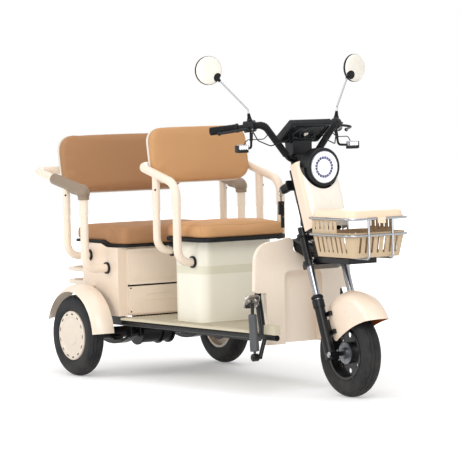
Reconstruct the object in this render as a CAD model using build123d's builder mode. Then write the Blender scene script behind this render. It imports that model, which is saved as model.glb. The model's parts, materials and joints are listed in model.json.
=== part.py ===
from build123d import *
import math
import os

os.makedirs("parts", exist_ok=True)

# Electric passenger tricycle, in millimetres. +X is forward, +Y is left, +Z is up, and the
# origin is on the floor under the middle of the machine.

# ------------------------------------------------------------------ driving dimensions
WHEELBASE = 1572.0
TRACK = 810.0
REAR_AXLE_X = -722.0
TYRE_DIAMETER = 376.0
TYRE_WIDTH = 80.0
RIM_DIAMETER = 228.0
RIM_WIDTH = 64.6
BEAD_RADIUS = 106.0
RAKE = 20.0
AXLE_OFFSET = 48.7
LEG_OFFSET = 30.0
CLAMP_Z = 554.0

FIT = 0.2
RUNNING_FIT = 0.1

FLOOR_TOP = 275.0
FLOOR_THICKNESS = 10.0
FLOOR_REAR_HALF = 312.0
FLOOR_FRONT_HALF = 252.0
RAIL_DIAMETER = 25.0
BEAM_HEIGHT = 40.0
BEAM_WIDTH = 30.0
BEAM_Y = 200.0

FRAME_TUBE = 30.0
NECK_TUBE = 50.0
HEAD_TUBE = 50.0
STEERER = 28.0
HOOP_TOP_Z = 640.0

SHIELD_HALF = 257.0
SHIELD_LOWER_HALF = 195.0
SHIELD_TOP_Z = 672.0
SHIELD_BOTTOM_Z = 210.0
SHIELD_JOG_Z = 437.0
SHIELD_WALL = 4.0
SHIELD_DEPTH = 22.0
BAY_HALF = 104.0
BAY_TOP_Z = 529.0
BAY_DEPTH = 56.0

SEAT_BOX_WALL = 4.0
FRONT_BOX_LENGTH = 248.0
FRONT_BOX_HALF = 200.0
FRONT_BOX_TOP_Z = 637.0
FRONT_SEAT_HALF = 236.0
FRONT_SEAT_OVERHANG = 70.0
FRONT_SEAT_THICKNESS = 64.0
SEAT_BASE_THICKNESS = 18.0

REAR_BOX_TYRE_GAP = 47.0
REAR_BOX_HALF = TRACK / 2 - TYRE_WIDTH / 2 - REAR_BOX_TYRE_GAP
REAR_BOX_BOTTOM_Z = 282.0
REAR_BOX_TOP_Z = 612.0
REAR_BOX_STEP = 15.0
REAR_BOX_LENGTH = 344.0
REAR_SEAT_HALF = 302.0
REAR_SEAT_LENGTH = 446.0
REAR_SEAT_THICKNESS = 62.0
PANEL_THICKNESS = 6.0
PANEL_HALF = 268.0
PANEL_SPLIT_Z = 420.0
PANEL_SPLIT_GAP = 8.0

ARM_TUBE = 38.0
POST_TUBE = 35.0
LOWER_BEND = 60.0
ARM_BEND = 80.0
REAR_ARM_BEND = 44.0
LOOP_BEND = 45.0
BACK_GAP = 13.0
FRONT_ARM_HALF = 282.0
REAR_ARM_HALF = 436.0
COLLAR_DIAMETER = 54.0
COLLAR_LENGTH = 8.0

FRONT_BACK_HALF = 260.0
REAR_BACK_HALF = 332.0
BACK_HEIGHT = 252.0
REAR_BACK_HEIGHT = 276.0
BACK_CUSHION = 46.0
BACK_SHELL = 14.0
BACK_CORNER = 68.0
BACK_TILT = 10.0

# ------------------------------------------------------------------ places worked out
AXLE_Z = TYRE_DIAMETER / 2
FRONT_AXLE_X = REAR_AXLE_X + WHEELBASE
sin_rake = math.sin(math.radians(RAKE))
cos_rake = math.cos(math.radians(RAKE))
HEAD_X = FRONT_AXLE_X - (AXLE_OFFSET + (CLAMP_Z - AXLE_Z) * sin_rake) / cos_rake
# The steering plane: its x is forward and square to the steering axis, its z is up the axis.
STEER = Plane(
    origin=(HEAD_X, 0, CLAMP_Z),
    x_dir=(cos_rake, 0, sin_rake),
    z_dir=(-sin_rake, 0, cos_rake),
)
STEER_SIDE = Plane(origin=STEER.origin, x_dir=STEER.x_dir, z_dir=(0, -1, 0))
AXLE_H = STEER.to_local_coords(Vector(FRONT_AXLE_X, 0, AXLE_Z)).Z

FLOOR_UNDER = FLOOR_TOP - FLOOR_THICKNESS
RAIL_Z = FLOOR_UNDER - RAIL_DIAMETER / 2
SHIELD_X = FRONT_AXLE_X - 332.0
FLOOR_REAR_X = REAR_AXLE_X + 226.0
FLOOR_FRONT_X = SHIELD_X - BAY_DEPTH - 4.0
RAIL_FRONT_X = SHIELD_X + 132.0
RAIL_REAR_HALF = FLOOR_REAR_HALF - RAIL_DIAMETER / 2 - 4.0
RAIL_FRONT_HALF = FLOOR_FRONT_HALF - RAIL_DIAMETER / 2 - 4.0

REAR_BOX_FRONT_X = REAR_AXLE_X + 224.0
REAR_BOX_REAR_X = REAR_BOX_FRONT_X - REAR_BOX_LENGTH
FRONT_BOX_FRONT_X = REAR_AXLE_X + 743.0
FRONT_BOX_REAR_X = FRONT_BOX_FRONT_X - FRONT_BOX_LENGTH


def steer_point(forward, left, up):
    """A point given in the steering plane, as a point of the whole model."""
    return STEER.from_local_coords(Vector(forward, left, up))


def bent_tube(points, diameter, bend):
    """A round tube along straight runs joined by bends of one radius."""
    with BuildPart() as tube:
        with BuildLine() as route:
            FilletPolyline(*points, radius=bend)
        with BuildSketch(Plane(origin=route.line @ 0, z_dir=route.line % 0)):
            Circle(diameter / 2)
        sweep()
    return tube.part


def rod(start, end, diameter):
    """A straight round bar between two points."""
    start = Vector(*start)
    along = Vector(*end) - start
    with BuildPart() as bar:
        with BuildSketch(Plane(origin=start, z_dir=along.normalized())):
            Circle(diameter / 2)
        extrude(amount=along.length)
    return bar.part


def mirrored_points(points):
    """A route and its mirror image on the other side, as one list."""
    return [*points, *[(x, -y, z) for x, y, z in reversed(points)]]


# ------------------------------------------------------------------ wheels
def wheel_sketch_plane(hub_x):
    """The plane through the wheel's centre whose x is +Y and whose y is +Z."""
    return Plane.YZ.offset(hub_x)


def wheel_axis(hub_x, hub_y):
    return Axis((hub_x, hub_y, AXLE_Z), (0, 1, 0))


def wheel_point(hub_y, outward, lateral, radius):
    return (hub_y + outward * lateral, AXLE_Z + radius)


TREAD_RADIUS = TYRE_DIAMETER / 2
TYRE_HALF = TYRE_WIDTH / 2
RIM_RADIUS = RIM_DIAMETER / 2
RIM_HALF = RIM_WIDTH / 2
RIM_WALL = 3.0
BEAD_HALF = RIM_HALF - RIM_WALL - FIT
SEAT_RADIUS = BEAD_RADIUS - FIT
CROWN_DROP = 11.0
SHOULDER_HALF = TYRE_HALF - 5.0
AXLE_STUB = 25.0
DRUM_RADIUS = 72.0
HUB_RADIUS = 30.0
WEB_THICKNESS = 5.0
HUB_HALF = 27.0
CAP_RADIUS = RIM_RADIUS - 1.0
CAP_WALL = 2.6
CAP_RISE = 5.5
CAP_SLOTS = 13
CAP_SLOT_RADIUS = CAP_RADIUS - 13.0
FRONT_AXLE_DIAMETER = 12.0


def make_tyre(hub_x, hub_y):
    with BuildPart() as tyre:
        with BuildSketch(wheel_sketch_plane(hub_x)):
            with BuildLine():
                inner_left = wheel_point(hub_y, 1, -BEAD_HALF, BEAD_RADIUS)
                inner_right = wheel_point(hub_y, 1, BEAD_HALF, BEAD_RADIUS)
                bead_left = wheel_point(hub_y, 1, -BEAD_HALF, RIM_RADIUS + 2)
                bead_right = wheel_point(hub_y, 1, BEAD_HALF, RIM_RADIUS + 2)
                side_z = (RIM_RADIUS + TREAD_RADIUS) / 2
                shoulder_z = TREAD_RADIUS - CROWN_DROP
                shoulder_left = wheel_point(hub_y, 1, -SHOULDER_HALF, shoulder_z)
                shoulder_right = wheel_point(hub_y, 1, SHOULDER_HALF, shoulder_z)
                Line(inner_right, inner_left)
                Line(inner_left, bead_left)
                ThreePointArc(bead_left, wheel_point(hub_y, 1, -TYRE_HALF, side_z), shoulder_left)
                ThreePointArc(
                    shoulder_left, wheel_point(hub_y, 1, 0, TREAD_RADIUS), shoulder_right
                )
                ThreePointArc(shoulder_right, wheel_point(hub_y, 1, TYRE_HALF, side_z), bead_right)
                Line(bead_right, inner_right)
            make_face()
        revolve(axis=wheel_axis(hub_x, hub_y))
    return tyre


def rim_outline(hub_y, outward):
    """Half section of the drop channel with its two flanges."""
    channel = SEAT_RADIUS - RIM_WALL
    corners = [
        (-RIM_HALF, channel),
        (-RIM_HALF, RIM_RADIUS),
        (-RIM_HALF + RIM_WALL, RIM_RADIUS),
        (-RIM_HALF + RIM_WALL, SEAT_RADIUS),
        (RIM_HALF - RIM_WALL, SEAT_RADIUS),
        (RIM_HALF - RIM_WALL, RIM_RADIUS),
        (RIM_HALF, RIM_RADIUS),
        (RIM_HALF, channel),
    ]
    return [wheel_point(hub_y, outward, lateral, radius) for lateral, radius in corners]


def section_box(hub_y, outward, lateral_from, lateral_to, radius_from, radius_to):
    corners = [
        (lateral_from, radius_from),
        (lateral_to, radius_from),
        (lateral_to, radius_to),
        (lateral_from, radius_to),
    ]
    return [wheel_point(hub_y, outward, lateral, radius) for lateral, radius in corners]


def make_rear_rim(hub_x, hub_y, outward):
    """Pressed rim with its web, hub barrel and the brake drum on the inner side."""
    bore = AXLE_STUB / 2 + RUNNING_FIT
    channel = SEAT_RADIUS - RIM_WALL
    with BuildPart() as rim:
        with BuildSketch(wheel_sketch_plane(hub_x)):
            Polygon(*rim_outline(hub_y, outward), align=None)
            Polygon(
                *section_box(hub_y, outward, -2.0, WEB_THICKNESS - 2.0, HUB_RADIUS - 1, channel + 1),
                align=None,
            )
            Polygon(*section_box(hub_y, outward, -HUB_HALF, 20.0, bore, HUB_RADIUS), align=None)
            Polygon(
                *section_box(hub_y, outward, -HUB_HALF, 0.0, HUB_RADIUS - 1, DRUM_RADIUS), align=None
            )
        revolve(axis=wheel_axis(hub_x, hub_y))
    return rim


def make_hubcap(hub_x, hub_y, outward):
    """Pressed cover disc with a raised centre and a ring of short slots near its edge."""
    face = RIM_HALF + FIT
    corners = [
        (face, CAP_RADIUS),
        (face + CAP_WALL, CAP_RADIUS),
        (face + CAP_RISE, CAP_RADIUS - 4),
        (face + CAP_RISE, CAP_RADIUS - 24),
        (face + CAP_WALL, CAP_RADIUS - 30),
        (face + CAP_WALL, 46),
        (face + CAP_RISE, 42),
        (face + CAP_RISE, 0.0),
        (face + CAP_RISE - CAP_WALL, 0.0),
        (face + CAP_RISE - CAP_WALL, 40),
        (face, 44),
        (face, CAP_RADIUS - 32),
        (face + CAP_RISE - CAP_WALL, CAP_RADIUS - 26),
        (face + CAP_RISE - CAP_WALL, CAP_RADIUS - 5),
    ]
    points = [wheel_point(hub_y, outward, lateral, radius) for lateral, radius in corners]
    slot_plane = Plane(
        origin=(hub_x, hub_y + outward * face, AXLE_Z), x_dir=(1, 0, 0), z_dir=(0, outward, 0)
    )
    with BuildPart() as cap:
        with BuildSketch(wheel_sketch_plane(hub_x)):
            Polygon(*points, align=None)
        revolve(axis=wheel_axis(hub_x, hub_y))
        with BuildSketch(slot_plane):
            with PolarLocations(CAP_SLOT_RADIUS, CAP_SLOTS):
                Rectangle(6.5, 17.0)
        extrude(amount=20.0, both=True, mode=Mode.SUBTRACT)
    return cap


for side, outward in (("right", -1), ("left", 1)):
    hub_y = outward * TRACK / 2
    rear_tyre = make_tyre(REAR_AXLE_X, hub_y)
    rear_tyre.part.label = f"rear_tyre_{side}"
    export_step(rear_tyre.part, f"parts/rear_tyre_{side}.step")
    rear_rim = make_rear_rim(REAR_AXLE_X, hub_y, outward)
    rear_rim.part.label = f"rear_rim_{side}"
    export_step(rear_rim.part, f"parts/rear_rim_{side}.step")
    rear_hubcap = make_hubcap(REAR_AXLE_X, hub_y, outward)
    rear_hubcap.part.label = f"rear_hubcap_{side}"
    export_step(rear_hubcap.part, f"parts/rear_hubcap_{side}.step")

front_tyre = make_tyre(FRONT_AXLE_X, 0.0)
front_tyre.part.label = "front_tyre"
export_step(front_tyre.part, "parts/front_tyre.step")

FRONT_WEB_HOLES = 8
FRONT_HUB_HALF = 44.0
FRONT_HUB_RADIUS = 46.0
with BuildPart() as front_rim:
    with BuildSketch(wheel_sketch_plane(FRONT_AXLE_X)):
        Polygon(*rim_outline(0.0, 1), align=None)
        Polygon(
            *section_box(
                0.0,
                1,
                -WEB_THICKNESS / 2,
                WEB_THICKNESS / 2,
                FRONT_HUB_RADIUS + FIT,
                SEAT_RADIUS - RIM_WALL + 1,
            ),
            align=None,
        )
    revolve(axis=wheel_axis(FRONT_AXLE_X, 0.0))
    with BuildSketch(Plane.XZ):
        with Locations((FRONT_AXLE_X, AXLE_Z)):
            with PolarLocations((FRONT_HUB_RADIUS + SEAT_RADIUS) / 2, FRONT_WEB_HOLES):
                Circle(11.0)
    extrude(amount=TYRE_WIDTH / 2, both=True, mode=Mode.SUBTRACT)
front_rim.part.label = "front_rim"
export_step(front_rim.part, "parts/front_rim.step")

with BuildPart() as front_hub:
    with BuildSketch(wheel_sketch_plane(FRONT_AXLE_X)):
        front_bore = FRONT_AXLE_DIAMETER / 2 + RUNNING_FIT
        Polygon(
            *section_box(0.0, 1, -FRONT_HUB_HALF, FRONT_HUB_HALF, front_bore, HUB_RADIUS - 6),
            align=None,
        )
        Polygon(
            *section_box(0.0, 1, -HUB_HALF, HUB_HALF, HUB_RADIUS - 8, FRONT_HUB_RADIUS), align=None
        )
    revolve(axis=wheel_axis(FRONT_AXLE_X, 0.0))
front_hub.part.label = "front_hub"
export_step(front_hub.part, "parts/front_hub.step")

# ------------------------------------------------------------------ rear axle and springs
MOTOR_DIAMETER = 120.0
MOTOR_LENGTH = 170.0
AXLE_TUBE = 54.0
BACKING_PLATE = 3.0
DRUM_GAP = 3.0
SPRING_LENGTH = 320.0
SPRING_WIDTH = 45.0
SPRING_THICKNESS = 9.0
SPRING_CAMBER = 36.0
EYE_DIAMETER = 24.0
SADDLE_LENGTH = 40.0
SADDLE_DEPTH = 6.0
SADDLE_Z = AXLE_Z - AXLE_TUBE / 2 - SADDLE_DEPTH
SPRING_TOP_Z = SADDLE_Z - SPRING_CAMBER * (SADDLE_LENGTH / SPRING_LENGTH) ** 2 - FIT
plate_face = TRACK / 2 - HUB_HALF - DRUM_GAP
with BuildPart() as rear_axle:
    with Locations((REAR_AXLE_X, 0, AXLE_Z)):
        Cylinder(AXLE_TUBE / 2, 2 * plate_face, rotation=(90, 0, 0))
        Cylinder(MOTOR_DIAMETER / 2, MOTOR_LENGTH, rotation=(90, 0, 0))
        Cylinder(AXLE_STUB / 2, TRACK + 2 * 18.0, rotation=(90, 0, 0))
    with Locations(
        (REAR_AXLE_X, MOTOR_LENGTH / 2, AXLE_Z),
        (REAR_AXLE_X, -MOTOR_LENGTH / 2, AXLE_Z),
        (REAR_AXLE_X, MOTOR_LENGTH / 6, AXLE_Z),
    ):
        Cylinder(MOTOR_DIAMETER / 2 + 8.0, 8.0, rotation=(90, 0, 0))
    with Locations(
        (REAR_AXLE_X, plate_face - BACKING_PLATE / 2, AXLE_Z),
        (REAR_AXLE_X, -plate_face + BACKING_PLATE / 2, AXLE_Z),
    ):
        Cylinder(DRUM_RADIUS + 3.0, BACKING_PLATE, rotation=(90, 0, 0))
    with Locations((REAR_AXLE_X, BEAM_Y, AXLE_Z), (REAR_AXLE_X, -BEAM_Y, AXLE_Z)):
        Box(
            SADDLE_LENGTH,
            SPRING_WIDTH + 8.0,
            AXLE_Z - SADDLE_Z,
            align=(Align.CENTER, Align.CENTER, Align.MAX),
        )
rear_axle.part.label = "rear_axle"
export_step(rear_axle.part, "parts/rear_axle.step")

eye_z = SPRING_TOP_Z + SPRING_CAMBER
with BuildPart() as leaf_springs:
    for spring_y in (-BEAM_Y, BEAM_Y):
        with BuildSketch(Plane.XZ.offset(-spring_y)):
            with BuildLine():
                upper = ThreePointArc(
                    (REAR_AXLE_X - SPRING_LENGTH / 2, eye_z),
                    (REAR_AXLE_X, SPRING_TOP_Z),
                    (REAR_AXLE_X + SPRING_LENGTH / 2, eye_z),
                )
                lower = ThreePointArc(
                    (REAR_AXLE_X - SPRING_LENGTH / 2, eye_z - SPRING_THICKNESS),
                    (REAR_AXLE_X, SPRING_TOP_Z - 2 * SPRING_THICKNESS),
                    (REAR_AXLE_X + SPRING_LENGTH / 2, eye_z - SPRING_THICKNESS),
                )
                Line(upper @ 0, lower @ 0)
                Line(upper @ 1, lower @ 1)
            make_face()
            with Locations(
                (REAR_AXLE_X - SPRING_LENGTH / 2, eye_z), (REAR_AXLE_X + SPRING_LENGTH / 2, eye_z)
            ):
                Circle(EYE_DIAMETER / 2)
        extrude(amount=SPRING_WIDTH / 2, both=True)
leaf_springs.part.label = "leaf_springs"
export_step(leaf_springs.part, "parts/leaf_springs.step")

# ------------------------------------------------------------------ frame
BEAM_TOP = FLOOR_UNDER
HANGER_LENGTH = 34.0
BEAM_REAR_X = REAR_AXLE_X - SPRING_LENGTH / 2 - HANGER_LENGTH / 2
SPACER_HEIGHT = REAR_BOX_BOTTOM_Z - BEAM_TOP
HANGER_WALL = 5.0
CROSS_X = [
    FLOOR_REAR_X + 20.0,
    FRONT_BOX_REAR_X + 20.0,
    FRONT_BOX_FRONT_X - 20.0,
    FLOOR_FRONT_X - 20.0,
]
HEAD_BOTTOM_H = 14.0
HEAD_TOP_H = 108.0
HOOP_X = SHIELD_X - SHIELD_DEPTH - FRAME_TUBE / 2 - 2.0
HOOP_HALF = SHIELD_LOWER_HALF + FRAME_TUBE / 2 + 6.0
PEDAL_X = SHIELD_X + 44.0
PEDAL_Y = -(FLOOR_FRONT_HALF + 44.0)
PEDAL_PIVOT_Z = 168.0
PEDAL_PIVOT_DIAMETER = 16.0
head_centre = steer_point(0, 0, (HEAD_BOTTOM_H + HEAD_TOP_H) / 2)


def rail_half_at(x):
    share = (x - FLOOR_REAR_X) / (RAIL_FRONT_X - FLOOR_REAR_X)
    return RAIL_REAR_HALF + (RAIL_FRONT_HALF - RAIL_REAR_HALF) * share


side_rail = rod(
    (FLOOR_REAR_X, -RAIL_REAR_HALF, RAIL_Z), (RAIL_FRONT_X, -RAIL_FRONT_HALF, RAIL_Z), RAIL_DIAMETER
)
cross_tubes = [
    rod((x, -rail_half_at(x), RAIL_Z), (x, rail_half_at(x), RAIL_Z), RAIL_DIAMETER) for x in CROSS_X
]
foot_x = SHIELD_X + 30.0
hoop = bent_tube(
    mirrored_points(
        [
            (foot_x, -rail_half_at(foot_x) + 4.0, RAIL_Z),
            (HOOP_X, -HOOP_HALF, SHIELD_JOG_Z - 12.0),
            (HOOP_X, -HOOP_HALF + 62.0, HOOP_TOP_Z),
        ]
    ),
    FRAME_TUBE,
    60.0,
)
neck = rod((HOOP_X, 0, HOOP_TOP_Z), (head_centre.X, 0, head_centre.Z), NECK_TUBE)
pedal_arm = rod(
    (PEDAL_X, -rail_half_at(PEDAL_X) + 2.0, RAIL_Z),
    (PEDAL_X + 6.0, PEDAL_Y + 26.0, PEDAL_PIVOT_Z),
    18.0,
)
pedal_pin = rod(
    (PEDAL_X + 6.0, PEDAL_Y + 32.0, PEDAL_PIVOT_Z),
    (PEDAL_X + 6.0, PEDAL_Y - 16.0, PEDAL_PIVOT_Z),
    PEDAL_PIVOT_DIAMETER,
)
with BuildPart() as frame:
    with Locations((0, BEAM_Y, BEAM_TOP), (0, -BEAM_Y, BEAM_TOP)):
        with Locations(((BEAM_REAR_X + FLOOR_FRONT_X) / 2, 0, 0)):
            Box(
                FLOOR_FRONT_X - BEAM_REAR_X,
                BEAM_WIDTH,
                BEAM_HEIGHT,
                align=(Align.CENTER, Align.CENTER, Align.MAX),
            )
    with Locations(
        (REAR_BOX_REAR_X + 40.0, 0, BEAM_TOP - 2.0), (REAR_BOX_FRONT_X - 40.0, 0, BEAM_TOP - 2.0)
    ):
        Box(
            BEAM_WIDTH,
            2 * BEAM_Y + BEAM_WIDTH,
            SPACER_HEIGHT + 2.0,
            align=(Align.CENTER, Align.CENTER, Align.MIN),
        )
    for spring_end in (-1, 1):
        for spring_y in (-BEAM_Y, BEAM_Y):
            for cheek in (-1, 1):
                cheek_y = spring_y + cheek * (SPRING_WIDTH / 2 + FIT + HANGER_WALL / 2)
                with Locations((REAR_AXLE_X + spring_end * SPRING_LENGTH / 2, cheek_y, eye_z - 14.0)):
                    Box(
                        HANGER_LENGTH,
                        HANGER_WALL,
                        BEAM_TOP - BEAM_HEIGHT - eye_z + 34.0,
                        align=(Align.CENTER, Align.CENTER, Align.MIN),
                    )
            with Locations(
                (REAR_AXLE_X + spring_end * SPRING_LENGTH / 2, spring_y, BEAM_TOP - BEAM_HEIGHT)
            ):
                Box(
                    HANGER_LENGTH,
                    SPRING_WIDTH + 2 * (FIT + HANGER_WALL),
                    6.0,
                    align=(Align.CENTER, Align.CENTER, Align.MIN),
                )
    add(side_rail)
    mirror(side_rail, about=Plane.XZ)
    for cross_tube in cross_tubes:
        add(cross_tube)
    add(hoop)
    add(neck)
    add(pedal_arm)
    add(pedal_pin)
    with Locations((HOOP_X, 120.0, HOOP_TOP_Z), (HOOP_X, -120.0, HOOP_TOP_Z)):
        Box(
            SHIELD_X - SHIELD_WALL - FIT - HOOP_X,
            22.0,
            18.0,
            align=(Align.MIN, Align.CENTER, Align.CENTER),
        )
    with BuildSketch(STEER.offset(HEAD_BOTTOM_H)):
        Circle(HEAD_TUBE / 2)
    extrude(amount=HEAD_TOP_H - HEAD_BOTTOM_H)
    with BuildSketch(STEER.offset(HEAD_BOTTOM_H - 1)):
        Circle(STEERER / 2 + RUNNING_FIT)
    extrude(amount=HEAD_TOP_H - HEAD_BOTTOM_H + 2, mode=Mode.SUBTRACT)
frame.part.label = "frame"
export_step(frame.part, "parts/frame.step")

# ------------------------------------------------------------------ floor
END_BLOCK_WIDTH = 28.0
END_BLOCK_HEIGHT = 40.0
END_BLOCK_GAP = FRAME_TUBE / 2 + 12.0


def floor_half_at(x):
    share = (x - FLOOR_REAR_X) / (RAIL_FRONT_X - FLOOR_REAR_X)
    return FLOOR_REAR_HALF + (FLOOR_FRONT_HALF - FLOOR_REAR_HALF) * share


prong_inner = SHIELD_LOWER_HALF + 2.0
prong_tip_x = foot_x - END_BLOCK_GAP
block_rear_x = foot_x + END_BLOCK_GAP - 8.0
rail_top = RAIL_Z + RAIL_DIAMETER / 2
with BuildPart() as floor_board:
    with BuildSketch(Plane.XY.offset(FLOOR_UNDER)):
        Polygon(
            (FLOOR_REAR_X, -FLOOR_REAR_HALF),
            (prong_tip_x, -floor_half_at(prong_tip_x)),
            (prong_tip_x, -prong_inner),
            (FLOOR_FRONT_X, -prong_inner),
            (FLOOR_FRONT_X, prong_inner),
            (prong_tip_x, prong_inner),
            (prong_tip_x, floor_half_at(prong_tip_x)),
            (FLOOR_REAR_X, FLOOR_REAR_HALF),
            align=None,
        )
    extrude(amount=FLOOR_THICKNESS)
    for block_side in (-1, 1):
        with Locations(
            (
                (block_rear_x + RAIL_FRONT_X) / 2,
                block_side * (rail_half_at(RAIL_FRONT_X) - 2.0),
                rail_top + FIT / 2,
            )
        ):
            Box(
                RAIL_FRONT_X - block_rear_x,
                END_BLOCK_WIDTH,
                END_BLOCK_HEIGHT,
                align=(Align.CENTER, Align.CENTER, Align.MIN),
            )
floor_board.part.label = "floor_board"
export_step(floor_board.part, "parts/floor_board.step")

# ------------------------------------------------------------------ legshield
NOTCH_HALF = 50.0
NOTCH_Z = 606.0
SHIELD_CORNER = 82.0
shoulder_z = SHIELD_TOP_Z - 30.0


def shield_points():
    right_side = [
        (NOTCH_HALF, NOTCH_Z),
        (NOTCH_HALF, SHIELD_TOP_Z),
        (SHIELD_HALF - 10.0, shoulder_z),
        (SHIELD_HALF, SHIELD_JOG_Z),
        (SHIELD_LOWER_HALF, SHIELD_JOG_Z),
        (SHIELD_LOWER_HALF, SHIELD_BOTTOM_Z),
    ]
    return right_side + [(-y, z) for y, z in reversed(right_side)]


def vertices_near(outline, half, height):
    """The pair of corners of a front view at +-half and height."""
    return [
        corner
        for corner in outline.vertices()
        if abs(abs(corner.X) - half) < 0.5 and abs(corner.Y - height) < 0.5
    ]


def shield_outline(plane_x, inset):
    """The legshield seen from the front, drawn smaller all round by the inset."""
    with BuildSketch(Plane.YZ.offset(plane_x)) as outline:
        Polygon(*shield_points(), align=None)
        fillet(vertices_near(outline, SHIELD_HALF - 10.0, shoulder_z), SHIELD_CORNER)
        fillet(vertices_near(outline, NOTCH_HALF, SHIELD_TOP_Z), 22.0)
        fillet(vertices_near(outline, NOTCH_HALF, NOTCH_Z), 14.0)
        fillet(vertices_near(outline, SHIELD_HALF, SHIELD_JOG_Z), 16.0)
        fillet(vertices_near(outline, SHIELD_LOWER_HALF, SHIELD_JOG_Z), 10.0)
        if inset > 0:
            offset(amount=-inset)
    return outline.sketch


def bay_outline(plane_x, inset):
    """The front wheel's bay: open at the bottom, rounded at its top corners."""
    half = BAY_HALF - inset
    top = BAY_TOP_Z - inset
    with BuildSketch(Plane.YZ.offset(plane_x)) as outline:
        Polygon(
            (-half, SHIELD_BOTTOM_Z),
            (half, SHIELD_BOTTOM_Z),
            (half, top),
            (-half, top),
            align=None,
        )
        fillet(vertices_near(outline, half, top), 34.0 - inset)
    return outline.sketch


shield_outer = shield_outline(SHIELD_X, 0.0)
shield_inner = shield_outline(SHIELD_X - SHIELD_WALL, SHIELD_WALL)
bay_outer = bay_outline(SHIELD_X - SHIELD_WALL, 0.0)
bay_inner = bay_outline(SHIELD_X + 1.0, SHIELD_WALL)
with BuildPart() as legshield:
    extrude(shield_outer, amount=SHIELD_DEPTH, dir=(-1, 0, 0))
    extrude(shield_inner, amount=SHIELD_DEPTH, dir=(-1, 0, 0), mode=Mode.SUBTRACT)
    extrude(bay_outer, amount=BAY_DEPTH - SHIELD_WALL, dir=(-1, 0, 0))
    extrude(bay_inner, amount=BAY_DEPTH - SHIELD_WALL + 1.0, dir=(-1, 0, 0), mode=Mode.SUBTRACT)
legshield.part.label = "legshield"
export_step(legshield.part, "parts/legshield.step")

# ------------------------------------------------------------------ seat boxes
FRONT_BOX_CORNER = 58.0
HINGE_RADIUS = 7.0
HINGE_REACH = 12.0
HINGE_PIN = 8.0
HINGE_DROP = HINGE_RADIUS + 0.5
LUG_LENGTH = 16.0
EAR_WIDTH = 6.0
EAR_GAP = 0.5
FRONT_HINGE_Y = 110.0
REAR_HINGE_Y = 150.0


def hinge_sketch(wall_x, top_z):
    """A box lug from the side: a rounded plate off the rear wall."""
    with BuildSketch(Plane.XZ) as lug:
        with Locations((wall_x - HINGE_REACH, top_z - HINGE_DROP)):
            Circle(HINGE_RADIUS)
            Rectangle(
                HINGE_REACH + 1.0, 2 * HINGE_RADIUS, align=(Align.MIN, Align.CENTER)
            )
            Circle(HINGE_PIN / 2 + RUNNING_FIT, mode=Mode.SUBTRACT)
    return lug.sketch


def box_lugs(wall_x, top_z, hinge_y):
    """The two bored lugs that a seat turns on."""
    outline = hinge_sketch(wall_x, top_z)
    with BuildPart() as lugs:
        for lug_y in (-hinge_y, hinge_y):
            placed = outline.moved(Location((0, lug_y, 0)))
            extrude(placed, amount=LUG_LENGTH / 2, both=True)
    return lugs.part


def seat_ears(wall_x, top_z, hinge_y):
    """The ears under a seat base, with their pins through the box lugs."""
    ear_offset = LUG_LENGTH / 2 + EAR_GAP + EAR_WIDTH / 2
    axis_x = wall_x - HINGE_REACH
    axis_z = top_z - HINGE_DROP
    with BuildPart() as ears:
        for station_y in (-hinge_y, hinge_y):
            for ear_y in (station_y - ear_offset, station_y + ear_offset):
                with Locations((axis_x, ear_y, axis_z)):
                    Cylinder(HINGE_RADIUS, EAR_WIDTH, rotation=(90, 0, 0))
                    Box(
                        2 * HINGE_RADIUS,
                        EAR_WIDTH,
                        HINGE_DROP + 1.0,
                        align=(Align.CENTER, Align.CENTER, Align.MIN),
                    )
            with Locations((axis_x, station_y, axis_z)):
                Cylinder(HINGE_PIN / 2, 2 * ear_offset + EAR_WIDTH, rotation=(90, 0, 0))
    return ears.part


front_lugs = box_lugs(FRONT_BOX_REAR_X, FRONT_BOX_TOP_Z, FRONT_HINGE_Y)
front_ears = seat_ears(FRONT_BOX_REAR_X, FRONT_BOX_TOP_Z, FRONT_HINGE_Y)
rear_lugs = box_lugs(REAR_BOX_REAR_X, REAR_BOX_TOP_Z, REAR_HINGE_Y)
rear_ears = seat_ears(REAR_BOX_REAR_X, REAR_BOX_TOP_Z, REAR_HINGE_Y)
with BuildPart() as front_seat_box:
    with BuildSketch(Plane.XY.offset(FLOOR_TOP)):
        with Locations(((FRONT_BOX_FRONT_X + FRONT_BOX_REAR_X) / 2, 0)):
            RectangleRounded(FRONT_BOX_LENGTH, 2 * FRONT_BOX_HALF, FRONT_BOX_CORNER)
    extrude(amount=FRONT_BOX_TOP_Z - FLOOR_TOP)
    with BuildSketch(Plane.XY.offset(FLOOR_TOP + SEAT_BOX_WALL)):
        with Locations(((FRONT_BOX_FRONT_X + FRONT_BOX_REAR_X) / 2, 0)):
            RectangleRounded(
                FRONT_BOX_LENGTH - 2 * SEAT_BOX_WALL,
                2 * (FRONT_BOX_HALF - SEAT_BOX_WALL),
                FRONT_BOX_CORNER - SEAT_BOX_WALL,
            )
    extrude(amount=FRONT_BOX_TOP_Z - FLOOR_TOP, mode=Mode.SUBTRACT)
    add(front_lugs)
front_seat_box.part.label = "front_seat_box"
export_step(front_seat_box.part, "parts/front_seat_box.step")

BATTERY_LENGTH = 190.0
BATTERY_WIDTH = 330.0
BATTERY_HEIGHT = 170.0
with BuildPart() as battery_block:
    with Locations(
        ((FRONT_BOX_FRONT_X + FRONT_BOX_REAR_X) / 2, 0, FLOOR_TOP + SEAT_BOX_WALL + FIT)
    ):
        Box(
            BATTERY_LENGTH,
            BATTERY_WIDTH,
            BATTERY_HEIGHT,
            align=(Align.CENTER, Align.CENTER, Align.MIN),
        )
battery_block.part.label = "battery_block"
export_step(battery_block.part, "parts/battery_block.step")

REAR_BOX_STEP_X = REAR_BOX_FRONT_X - 100.0
REAR_BOX_CORNER = 40.0


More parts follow.
